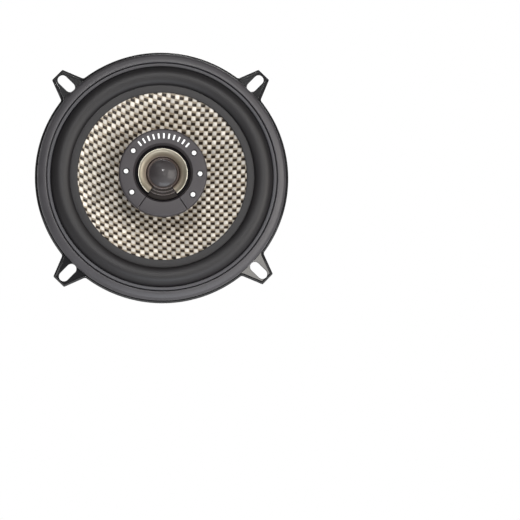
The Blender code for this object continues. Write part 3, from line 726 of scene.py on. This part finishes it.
def flange_loop(inset, y, arc_steps=112):
    """The flange's whole edge with its ears, moved inwards, at that depth."""
    half = ear_half(inset)
    ring_r = FLANGE_R - inset
    turn_out = degrees(atan2(half[-1][1], half[-1][0]))
    ear = [(along, -across) for along, across in reversed(half[1:])] + half
    points = []
    for angle in EAR_ANGLES:
        points += at_depth(spun(ear, angle), y)
        for k in range(1, arc_steps):
            turn = radians(angle + turn_out + (90 - 2 * turn_out) * k / arc_steps)
            points.append(around(ring_r, y, turn))
    return points


def circle_loop(radius, y, like):
    """A circle with its points at the same angles as those of another loop."""
    return [around(radius, y, atan2(z, x)) for x, _, z in like]


def slot_cutter(name):
    """All four slots as one cutter, flared where it leaves the flange's faces."""
    cutters = []
    for angle in EAR_ANGLES:
        loops = []
        for y, flare in ((-9.0, 0.3), (-1.1, 0.3), (-0.7, 0.0), (-0.3, 0.0), (0.05, 0.3), (2.0, 0.3)):
            outline = stadium(SLOT_LENGTH / 2 + flare, SLOT_WIDTH / 2 + flare)
            loops.append(at_depth(spun([(SLOT_R + u, v) for u, v in outline], angle), y))
        cutters.append(loops_object(f"{name}_{angle}", loops))
    return joined(name, cutters)


def flange_shell():
    edge = fillet([(0.9, 0.0, 0), (0.0, 0.0, 0.4), (0.0, -0.65, 0.15), (0.85, -1.5, 0.05), (1.4, -0.95, 0.15),
                   (2.0, -0.95, 0)], 7, False)
    outline = [flange_loop(inset, y) for inset, y in edge]
    like = outline[-1]
    rear = [(64.1, 0.0), (63.9, -0.06), (63.6, -0.4), (63.0, -0.45), (62.7, -0.1), (62.4, 0.25), (61.9, 0.32),
            (61.4, 0.25), (61.1, -0.1), (60.8, -0.45), (60.2, -0.45), (58.9, -0.45)]
    inner = [circle_loop(r, y, like) for r, y in reversed(rear)]
    front = [circle_loop(58.9, -0.95, like)]
    return loops_object("flange", inner + outline + front, True)


def bowl_shell():
    """The pressed bowl, with every step rounded."""
    outside = [
        (60.1, -0.9, 0), (60.1, -0.1, 0.3), (59.5, 1.3, 0.6), (57.2, 1.75, 0.5), (55.7, 3.5, 0.7),
        (53.6, 4.9, 0.9), (52.6, 7.6, 0.6), (49.6, 24.2, 1.5), (48.6, 26.3, 1.2), (47.0, 26.9, 0.8),
        (43.2, 26.9, 0.9), (41.4, 23.5, 1.0), (14.4, 23.5, 0.3),
    ]
    inside = [
        (14.4, 22.3, 0.3), (42.2, 22.3, 1.2), (44.0, 25.6, 0.9), (46.6, 25.6, 0.9), (48.4, 23.8, 1.2),
        (51.4, 7.2, 0.6), (52.2, 4.3, 0.8), (54.6, 2.4, 0.7), (56.2, 0.6, 0.5), (58.3, 0.2, 0.3),
        (58.3, -0.9, 0),
    ]
    return turned("bowl", fillet(outside + inside, 4))


def radial_cutter(name, outline, inner_r=30.0, outer_r=75.0):
    """A cutter whose sides run along radii. The outline holds (angle from the bottom, y)."""
    loops = []
    for radius in (inner_r, outer_r):
        turns = [(radians(a), y) for a, y in outline]
        loops.append([(radius * sin(t), y, -radius * cos(t)) for t, y in turns])
    return loops_object(name, loops)


def opening_outline(corners):
    """Rounds an outline of (degrees, y, fillet radius) corners as they lie on the wall."""
    degree = radians(1) * WALL_R
    return [(s / degree, y) for s, y in fillet([(a * degree, y, r) for a, y, r in corners], 5)]


def make_openings():
    """Four arched openings and, between them, four pairs of small ones."""
    low, high = OPENING_Y
    low_2, high_2 = SMALL_OPENING_Y
    window = [
        (1.6, low_2, 0.8), (9.6, low_2, 0.8), (10.6, low_2 + 1.9, 0.8),
        (8.0, high_2 - 1.6, 1.0), (6.6, high_2, 1.0), (1.6, high_2, 0.8),
    ]
    steps = 28
    cutters = []
    for quarter in (0, 90, 180, 270):
        arch = []
        for k in range(steps + 1):
            across, up = polar(1.0, pi * k / steps)
            corner_r = 1.2 if k in (0, steps) else 0
            arch.append((quarter + OPENING_HALF * across, low + (high - low) * up, corner_r))
        cutters.append(radial_cutter(f"arch_{quarter}", opening_outline(arch)))
        for side in (1, -1):
            corners = [(quarter + 45 + side * a, y, r) for a, y, r in window]
            cutters.append(radial_cutter(f"window_{quarter}_{side}", opening_outline(corners)))
    return joined("openings", cutters)


def board_matrix():
    turn = Matrix.Rotation(radians(BOARD_TILT - 90), 4, "X")
    return Matrix.Translation(Vector(BOARD_CENTRE) * MM) @ turn


def on_board(obj):
    """Moves a mesh from the terminal board's own frame into the speaker's."""
    obj.data.transform(board_matrix())
    return obj


def make_basket():
    bowl = bowl_shell()
    boolean(bowl, make_openings())
    places = [polar(RIVET_CIRCLE_R, radians(angle)) for angle in EAR_ANGLES]
    rivets = [prism("rivet_hole", circle(RIVET_R, 24, centre), 20, 26) for centre in places]
    boolean(bowl, joined("rivet_holes", rivets))
    back = -BOARD_SIZE[1] - 0.3
    tongue = fillet([(-6.5, -5.0, 0.8), (6.5, -5.0, 0.8), (6.5, 8.4, 0), (-6.5, 8.4, 0)])
    boolean(bowl, on_board(prism("tongue", tongue, back - 1.2, back)), "UNION")
    boolean(bowl, on_board(prism("eyelet_hole", circle(EYELET_R, 32), -6, 4)))
    soften(bowl, 0.16)
    piece(bowl, "black_paint", "basket")
    flange = flange_shell()
    boolean(flange, slot_cutter("slots"))
    piece(flange, "black_paint", "basket_flange")


# ---- front rings and moving parts


def make_front_rings():
    profile = fillet([
        (59.0, -1.2, 0.1), (59.0, -5.0, 0.5), (60.6, -4.85, 6.0), (62.4, -4.3, 2.0), (63.6, -3.2, 1.0),
        (63.8, -1.2, 0.2)
    ], 9)
    gasket = turned("gasket_ring", profile)
    boolean(gasket, slot_cutter("gasket_bites"))
    piece(gasket, "gasket_grey", "mounting_gasket")
    clamp = fillet([(56.9, -2.8, 0.1), (56.9, -4.5, 0.5), (58.6, -4.75, 0.35), (58.6, -2.8, 0.1)], 5)
    piece(turned("clamp_ring", clamp), "clamp_plastic", "surround_clamp_ring", slot="gasket_grey")


def roll_points(offset, steps=28):
    """The half roll between the two lands, moved along Y."""
    points = []
    for k in range(steps + 1):
        turn = pi * k / steps
        start = ROLL_INNER if k <= steps / 2 else ROLL_OUTER
        r = ROLL_CREST[0] + (start[0] - ROLL_CREST[0]) * abs(cos(turn))
        y = start[1] + (ROLL_CREST[1] - start[1]) * sin(turn)
        points.append((r, y + offset))
    return points


def blended(obj, look, node_name):
    """A ring that flexes between the chassis at one radius and a moving body at the other: it gets its finish
    and its transform fixed into its mesh, and its CAD node is hidden.
    """
    obj.data.materials.append(MATERIALS[look])
    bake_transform(obj)
    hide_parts(node_name)


def make_surround():
    lip = [(43.3, -4.6), (43.15, -4.75), (43.15, -5.0), (43.35, -5.2)]
    top = [(43.7, -5.25), (46.3, -5.25), *roll_points(-0.3), (57.4, -2.75), (59.1, -2.7)]
    back = [(59.1, -2.2), (57.4, -2.25), *reversed(roll_points(0.25)), (46.3, -4.65)]
    surround = turned("surround_roll", [*lip, *top, *back])
    blended(surround, "surround_rubber", "surround")


def cone_y(radius):
    """Depth of the cone's front face at a radius: a slightly flared cone."""
    share = (CONE_FOLD_R - radius) / (CONE_FOLD_R - NECK_R)
    return CONE_FRONT_Y + (NECK_Y - CONE_FRONT_Y) * (0.88 * share + 0.12 * share**2)


def weave_height(x, z):
    """Relief of the woven cloth in millimetres, from the same counts as its colours."""
    warp, weft = yarn_count(WARP, x, z), yarn_count(WEFT, x, z)
    across, along = np.sin(np.pi * warp), np.sin(np.pi * weft)
    reach = np.minimum((weft - np.floor(weft)) / SHADED_GAP_SHARE, 1)
    fall = np.abs(across) * np.maximum(np.sin(np.pi * reach), 0)
    rise = np.abs(across * along)
    return np.where(across * along > 0, 0.3 * rise**YARN_CROWN, -0.2 * fall**YARN_CROWN)


def make_cone():
    sides = 720
    turns = np.radians(np.arange(sides) * 360.0 / sides)
    front_r = np.linspace(NECK_R, 43.9, 100)
    back_r = np.linspace(43.9, NECK_R, 64)
    loops = []
    for radii, side in ((front_r, -1), (back_r, 1)):
        for r in radii:
            x, z = r * np.cos(turns), r * np.sin(turns)
            fade = min(1.0, max(0.0, (CONE_FOLD_R - 0.3 - r) / 0.4)) * min(1.0, (r - NECK_R) / 0.5)
            depth = cone_y(min(r, CONE_FOLD_R)) + (CONE_T if side > 0 else 0.0)
            y = depth + side * fade * weave_height(x, z)
            loops.append(list(zip(x, y, z)))
        if side < 0:
            rim = [(CONE_FOLD_R + 0.9, CONE_FRONT_Y), (46.6, CONE_FRONT_Y), (46.6, CONE_FRONT_Y + CONE_T),
                   (CONE_FOLD_R + 0.9, CONE_FRONT_Y + CONE_T)]
            loops += [[around(r, y, t) for t in turns] for r, y in rim]
    cone = loops_object("woven_cone", loops, True, 80.0)
    piece(cone, "woven_cone", "cone", body=MOVING)


def make_spider():
    """The corrugated centring ring."""
    first, last, waves, steps = 12.95, 31.9, 6, 96
    front = []
    for k in range(steps + 1):
        share = k / steps
        front.append((first + (last - first) * share, SPIDER_Y + 0.9 * sin(2 * pi * waves * share)))
    front += [(32.9, SPIDER_Y - 0.2), (37.0, SPIDER_Y - 0.2)]
    back = [(r, y + 0.45) for r, y in reversed(front)]
    spider = turned("spider_cloth", front + back, 160)
    blended(spider, "spider_cloth", "spider")


def make_coil():
    former = rectangle((12.4, 12.65), (11.0, 31.0), 0)
    piece(turned("coil_former", former, SMALL_ROUND), "coil_former", "voice_coil_former",
          body=MOVING)
    turns = []
    for k in range(20):
        y = 21.8 + 0.4 * k
        turns += [(13.2, y), (13.4, y + 0.1), (13.4, y + 0.3)]
    coil = [(12.95, 29.8), (12.95, 21.8), *turns, (13.2, 29.8)]
    piece(turned("coil_winding", coil, SMALL_ROUND), "copper", "voice_coil", body=MOVING)


def make_tinsel_leads():
    """Braided leads whose inner ends move with the cone."""
    route = [(11.0, 17.6, -50.2), (10.7, 15.6, -46.2), (9.8, 12.0, -40.6), (8.8, 9.4, -34.8),
             (8.0, 8.4, -29.0), (7.2, 8.1, -23.4)]
    for name, side in (("positive", -1), ("negative", 1)):
        points = [(side * x, y, z) for x, y, z in route]
        lead = tube(f"tinsel_braid_{name}", points, TINSEL_R, 0.35, 18, (6, 0.18, 0.12))
        lead.data.materials.append(MATERIALS["copper"])
        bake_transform(lead)
        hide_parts(f"tinsel_lead_{name}")


# ---- tweeter


def bezel_profile():
    inner, outer = BEZEL_R
    front = BEZEL_FRONT_Y
    return fillet([
        (inner - 0.5, front + 2.4, 0.1), (inner + 0.5, front, 0.15), (outer, front, 1.1), (outer, -12.4, 0.2),
        (outer - 1.4, -12.4, 0.2), (outer - 1.4, front + 2.8, 0.4), (inner - 0.5, front + 2.8, 0.1)
    ], 6)


def make_studs():
    """Makes the six studs and returns a cutter for their flared holes."""
    front = BEZEL_FRONT_Y
    dome = [(0, front - 0.32), (0.5, front - 0.29), (0.85, front - 0.18), (1.08, front),
            (STUD_R, front + 0.25), (STUD_R, front + 1.2), (0, front + 1.2)]
    bore, mouth = STUD_R + 0.32, STUD_R + 0.65
    hole = [(front - 1, mouth), (front - 0.02, mouth), (front + 0.22, bore), (front + 1.3, bore)]
    holes = []
    for number, angle in enumerate(STUD_ANGLES, 1):
        centre = polar(STUD_CIRCLE_R, radians(angle))
        holes.append(loops_object("stud_hole", [at_depth(circle(r, 40, centre), y) for y, r in hole]))
        stud = turned(f"stud_{number}", dome, 40)
        stud.data.transform(Matrix.Translation((centre[0] * MM, 0, centre[1] * MM)))
        piece(stud, "white_plastic", f"bezel_stud_{number}")
    return joined("stud_holes", holes)


def make_bezel():
    first, last = WEDGE_ANGLES
    bezel = turned("bezel_ring", bezel_profile(), 240, last, 360 - (last - first))
    boolean(bezel, make_studs())
    soften(bezel, 0.12, 50.0)
    piece(bezel, "bezel_plastic", "tweeter_bezel")


def make_wedge():
    """The insert below the dome: a front like the bezel's, and a darker floor with three ridges."""
    first, last = WEDGE_ANGLES
    slack = 1.1
    outer_part = turned("wedge_front", bezel_profile(), 60, first + slack, last - first - 2 * slack)
    soften(outer_part, 0.12, 50.0)
    piece(outer_part, "bezel_plastic")
    arc = (60, first + 1.3, last - first - 2.6)
    insert = fillet([
        (7.75, -13.9, 0), (7.75, -14.35, 0.1), (11.6, -14.85, 0.1), (11.65, -14.45, 0.1), (13.6, -14.45, 0.1),
        (13.6, -13.9, 0),
    ], 3)
    piece(turned("wedge_insert", insert, *arc), "insert_plastic", "tweeter_wedge", slot="bezel_plastic")
    ridges = []
    for r in (7.95, 9.6, 11.2):
        y = -14.4 - (r - 7.75) * 0.13
        low, high = r - 0.2, r + 0.2
        ridge = fillet([(low, y + 0.2, 0), (low, y - 0.2, 0.12), (high, y - 0.25, 0.12), (high, y + 0.2, 0)])
        ridges.append(turned("ridge", ridge, *arc))
    piece(joined("wedge_ridges", ridges), "flexure_film", slot="bezel_plastic")


def bar_outline(angle, radii, half_width):
    """A bar along the radius at that angle, with round corners."""
    near, far = radii
    corners = [(near, -half_width), (far, -half_width), (far, half_width), (near, half_width)]
    return spun(fillet([(*c, half_width * 0.45) for c in corners], 4), angle)


def bar_arc(count, first, last, radii, half_width):
    """Outlines of bars along the radius, evenly spaced between two angles."""
    angles = [first + (last - first) * k / (count - 1) for k in range(count)]
    return [bar_outline(angle, radii, half_width) for angle in angles]


def make_bezel_marks():
    """A plain arc of short white bars on the bezel's upper half."""
    near, far = BEZEL_FRONT_Y - 0.05, BEZEL_FRONT_Y + 0.1
    bars = [prism("mark", outline, near, far) for outline in bar_arc(11, 48, 128, (17.3, 20.0), 0.42)]
    piece(joined("bezel_marks", bars), "print_white", slot="white_plastic")


def make_tweeter_inside():
    cup = fillet([
        (20.6, -15.0, 0.3), (20.6, -11.6, 2.5), (18.6, -7.2, 3.0), (13.4, -3.4, 3.0), (6.5, -1.8, 1.0),
        (4.7, -1.8, 0.2), (4.7, -3.0, 0.2), (6.5, -3.0, 1.0), (12.7, -4.4, 3.0), (17.6, -8.0, 3.0),
        (19.4, -11.9, 2.0), (19.4, -15.0, 0.3),
    ], 5)
    piece(turned("cup_shell", cup, 160), "dark_plastic", "tweeter_cup", slot="bezel_plastic")
    floor = rectangle((7.4, 19.1), (-12.9, -12.3), 0.1)
    piece(turned("frame_plate", floor, 160), "matt_black", "tweeter_frame", slot="bezel_plastic")
    foot = 23.5
    post = fillet([
        (2.4, -4.1, 0.2), (6.0, -4.1, 0.2), (6.0, -3.3, 0.2), (4.4, -3.3, 0.3), (4.4, foot - 1.6, 0.4),
        (9.5, foot - 1.6, 0.3), (9.5, foot, 0.1), (2.4, foot, 0.1)
    ], 4)
    piece(turned("post_stem", post, SMALL_ROUND), "plated_steel", "tweeter_post")
    first, last = WEDGE_ANGLES
    dish = [(8.55, -13.75), (8.9, -13.95), (9.4, -14.05), (10.0, -14.1), (10.7, -14.25), (11.3, -14.5),
            (11.7, -14.8), (12.0, -15.15), (12.15, -15.35), (12.35, -15.35), (12.42, -15.15), (12.42, -13.6),
            (8.55, -13.5)]
    reflector = turned("reflector_dish", dish, 200, last + 1.0, 360 - (last - first) - 2.0)
    piece(reflector, "champagne_film", "tweeter_reflector")


def make_diaphragm():
    steps = 24
    height, base = 1.9, -13.6
    ball_r = (DOME_R**2 + height**2) / (2 * height)
    edge = asin(DOME_R / ball_r)
    front = []
    for k in range(steps + 1):
        turn = edge * k / steps
        front.append((ball_r * sin(turn), base - ball_r * (cos(turn) - cos(edge))))
    back = [(max(0.0, r - 0.2), y + 0.3) for r, y in reversed(front)]
    skirt = [(6.98, base + 0.02), (6.98, base + 0.3)]
    dome = turned("dome_shell", [*front, *skirt, *back[:-1], (0, base - height + 0.3)], SMALL_ROUND)
    piece(dome, "dome_film", "tweeter_dome", body=DIAPHRAGM)
    inner, outer, foot, rise = 6.95, 8.35, -13.35, 0.9
    arc = [(inner + (outer - inner) * k / 10, foot - rise * sin(pi * k / 10)) for k in range(11)]
    under = [(r, y + 0.2) for r, y in reversed(arc)]
    ring = turned("dome_flexure", arc + under, SMALL_ROUND)
    blended(ring, "flexure_film", "tweeter_surround")


# ---- motor cover, label and terminals


def make_cover():
    back = COVER_BACK_Y
    cover = fillet([
        (0, back, 0), (35.9, back, 0.9), (37.4, back - 1.2, 1.6), (37.9, back - 3.4, 1.5), (38.6, 33.2, 2.5),
        (40.2, 30.6, 1.6), (43.2, 28.9, 1.2), (43.5, 27.2, 0.2), (41.9, 27.2, 0.2), (37.0, 30.6, 1.0),
        (35.8, 33.2, 1.0), (35.8, back - 1.6, 0.5), (0, back - 1.6, 0),
    ], 7, False)
    boot = turned("magnet_boot", cover)
    half = LEAD_SLOT_HALF
    outline = [(-half, 3.0), (-half, -45), (half, -45), (half, 3.0)]
    boolean(boot, prism("lead_slot", outline, 39.9, 44.0))
    piece(boot, "black_vinyl", "magnet_cover")
    face, rear = LABEL_FACE_Y, LABEL_FACE_Y - 0.3
    label = fillet([(0, rear, 0), (LABEL_R, rear, 0.1), (LABEL_R, face, 0.12), (0, face, 0)], 3, False)
    piece(turned("label_disc", label), "label_black", "rear_label")


def arc_band(radii, first, last, steps=24):
    """A curved band between two angles, as an (x, z) outline."""
    turns = [radians(first + (last - first) * k / steps) for k in range(steps + 1)]
    return [polar(radii[0], t) for t in turns] + [polar(radii[1], t) for t in reversed(turns)]


def make_label_print():
    """Plain bars, ticks and a loudspeaker sign: nothing here is lettering."""
    near, far = LABEL_FACE_Y - 0.05, LABEL_FACE_Y + 0.04
    shapes = bar_arc(13, 38, 142, (26.6, 32.0), 1.15) + bar_arc(31, 50, 130, (22.4, 24.2), 0.3)
    lower = bar_arc(45, 196, 344, (29.6, 32.6), 0.55)
    shapes += [bar for k, bar in enumerate(lower) if k % 9 != 4]
    horn = [(-3.2, -5.0, 0.6), (1.2, -5.0, 0.4), (7.4, -10.6, 0.8)]
    shapes.append(fillet(horn + [(x, -z, radius) for x, z, radius in reversed(horn)]))
    waves = [arc_band((r, r + 1.3), 142, 218) for r in (8.0, 11.4, 14.8)]
    shapes += [[(x + 1.0, z) for x, z in wave] for wave in waves]
    made = [prism("print", outline, near, far) for outline in shapes]
    piece(joined("label_print", made), "print_white", slot="label_black")
    bar = rectangle((-13, 13), (-17.4, -15.6), 0.7)
    piece(prism("label_bar", bar, near, far), "print_red", slot="label_black")


def make_board():
    width, thickness, height = BOARD_SIZE
    outline = rectangle((-width / 2, width / 2), (-height / 2, height / 2), 0.5)
    board = prism("board_plate", outline, -thickness, 0)
    boolean(board, prism("board_hole", circle(EYELET_R, 32), -3, 2))
    soften(board, 0.12)
    piece(on_board(board), "fibre_board", "terminal_board")
    inner_end = -thickness - 0.3 - 1.2 - 0.3
    profile = fillet([
        (1.3, inner_end - 0.5, 0.1), (2.7, inner_end - 0.5, 0.2), (2.7, inner_end, 0.1),
        (1.8, inner_end, 0.1),
        (1.8, 0.2, 0.1), (3.05, 0.2, 0.2), (2.95, 0.8, 0.4), (2.1, 1.3, 0.5), (1.3, 0.9, 0.3)
    ], 5)
    piece(on_board(turned("eyelet_rivet", profile, 64)), "tinned_metal", "terminal_eyelet")


def make_tab(name, side, blade_width, hole_r):
    """A tab: a base with a wire lug on the board, and a blade with a hole bent outwards."""
    low, high = 0.3, 0.3 + TAB_T
    half = blade_width / 2
    base = fillet([
        (9.8, -4.4, 0.3), (14.2, -4.4, 0.8), (TAB_BEND_X + 0.3, -half, 0.4), (TAB_BEND_X + 0.3, half, 0.4),
        (14.3, 4.4, 0.8), (12.6, 4.4, 0.3), (12.6, 6.6, 0.5), (9.8, 6.6, 0.5)
    ], 4)
    tab = prism(name, [(side * x, z) for x, z in base], low, high)
    blade = fillet([
        (TAB_BEND_X - 0.6, -half, 0), (TAB_TIP_X, -half, half * 0.96), (TAB_TIP_X, half, half * 0.96),
        (TAB_BEND_X - 0.6, half, 0)
    ], 9)
    shift = Matrix.Translation((side * TAB_BEND_X * MM, 0, 0))
    turn = shift @ Matrix.Rotation(side * radians(TAB_ANGLE), 4, "Z") @ shift.inverted()
    plate = prism(f"{name}_blade", [(side * x, z) for x, z in blade], low, high)
    hole = prism(f"{name}_hole", circle(hole_r, 32, (side * (TAB_TIP_X - half - 0.6), 0)), -2, 3)
    for part in (plate, hole):
        part.data.transform(turn)
    boolean(tab, plate, "UNION")
    boolean(tab, hole)
    soften(tab, 0.12)
    return on_board(tab)


def make_terminals():
    make_board()
    for name, side, width, hole_r, seed in (("positive", -1, 4.8, 1.1, 4.0), ("negative", 1, 2.8, 0.75, 9.0)):
        tab = make_tab(f"tab_{name}", side, width, hole_r)
        piece(tab, "tinned_metal", f"terminal_tab_{name}")
        spots = [
            ((12.4, 1.5, 0.6), (2.5, 0.95, 2.3)), ((13.6, 1.4, -1.9), (1.7, 0.7, 1.5)),
            ((11.1, 1.4, -2.4), (1.3, 0.5, 1.5)), ((11.2, 1.5, 5.2), (1.5, 0.7, 1.3)),
        ]
        lumps = []
        for i, (centre, size) in enumerate(spots):
            lumps.append(lump(f"solder_{name}_{i}", (side * centre[0], centre[1], centre[2]), size, seed + i))
        body = flowed(joined(f"solder_{name}", lumps, 80.0))
        piece(on_board(body), "solder", f"solder_joint_{name}", slot="tinned_metal")


def lead_run(side):
    """From the tweeter down the pole's bore, out under the label and down the cover's side."""
    y = COVER_BACK_Y - 0.75
    route = [(-4.9, 0), (6, 0), (18, 0), (30, 0), (38.6, 0), (40.3, -0.5),
             (y - 0.05, -1.9), (y, -4.5), (y, -15), (y, -26), (y, -34.5),
             (41.1, -37.3), (40.0, -39.0), (37.6, -39.5), (34.5, -39.9), (32.2, -40.9), (30.9, -42.6)]
    return [(side * LEAD_X, *point) for point in route]


def make_leads():
    negative = [(2.2, 30.5, -44.3), (4.6, 30.4, -46.2), (7.4, 30.2, -47.9), (9.6, 29.0, -49.6),
                (10.7, 27.6, -51.0), (11.0, 26.0, -51.6), (11.0, 24.4, -51.7)]
    positive = [(-1.5, 30.1, -44.2), (-1.9, 29.1, -45.6), (-2.0, 28.4, -46.4)]
    for name, side, tail in (("negative", 1, negative), ("positive", -1, positive)):
        lead = tube(f"lead_{name}", lead_run(side) + tail, LEAD_R, 0.5, 24, (5, 0.09, 0.05))
        piece(lead, "lead_insulation", f"tweeter_lead_{name}")


def make_resistor_wires():
    """From the resistor's ends: the inner one to the positive lead, the outer one to its tab."""
    x, y, z = RESISTOR_CENTRE
    right, left = x + RESISTOR_HALF, x - RESISTOR_HALF
    inner = [(right - 0.6, y, z), (right + 1.2, y - 0.1, z), (7.7, 27.6, -50.0), (7.2, 27.2, -48.6),
             (5.6, 27.3, -47.4), (2.5, 27.5, -46.9), (-0.2, 27.6, -46.9), (-1.6, 27.9, -46.7)]
    outer = [(left + 0.6, y, z), (left - 1.2, y - 0.1, z - 0.1), (-14.7, 27.0, -51.8), (-14.3, 25.8, -52.3),
             (-13.1, 25.0, -52.1), (-11.8, 24.7, -51.7)]
    for name, points in (("inner", inner), ("outer", outer)):
        wire = tube(f"wire_{name}", points, WIRE_R, 0.3, 16)
        piece(wire, "solder", f"resistor_wire_{name}", slot="tinned_metal")


def make_resistor():
    """A dog-bone body, thicker at its two ends, along X."""
    half, r = RESISTOR_HALF, RESISTOR_R
    end = [(0, -half, 0), (r - 0.35, -half, 0.8), (r, -half + 1.6, 1.2), (r - 0.02, -half + 3.0, 1.0),
           (r - 0.35, -half + 4.2, 1.5)]
    outline = fillet(end + [(radius, -x, bend) for radius, x, bend in reversed(end)], 6, False)
    body = turned("resistor_body", outline, 64)
    turn = Matrix.Rotation(radians(90), 4, "Z")
    body.data.transform(Matrix.Translation(Vector(RESISTOR_CENTRE) * MM) @ turn)
    piece(body, "resistor_enamel", "series_resistor")


def finish_cad_nodes():
    """The hidden pieces keep their CAD shape and get a finish."""
    steel = ["top_plate", "t_yoke", "tweeter_plate", "tweeter_magnet", "tweeter_yoke"]
    steel += [f"basket_rivet_{number}" for number in range(1, 5)]
    looks = dict.fromkeys(steel, "plated_steel")
    looks.update(magnet_ring="ferrite", spider_ring="dark_plastic", tweeter_coil="copper",
                 tweeter_capacitor="sleeve")
    for name, look in looks.items():
        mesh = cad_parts[name].data
        mesh.materials.clear()
        mesh.materials.append(MATERIALS[look])


make_camera()
make_lights()
make_world()
make_floor()
make_basket()
make_front_rings()
make_surround()
make_cone()
make_spider()
make_coil()
make_tinsel_leads()
make_bezel()
make_wedge()
make_bezel_marks()
make_tweeter_inside()
make_diaphragm()
make_cover()
make_label_print()
make_terminals()
make_leads()
make_resistor_wires()
make_resistor()
finish_cad_nodes()

bpy.context.view_layer.update()
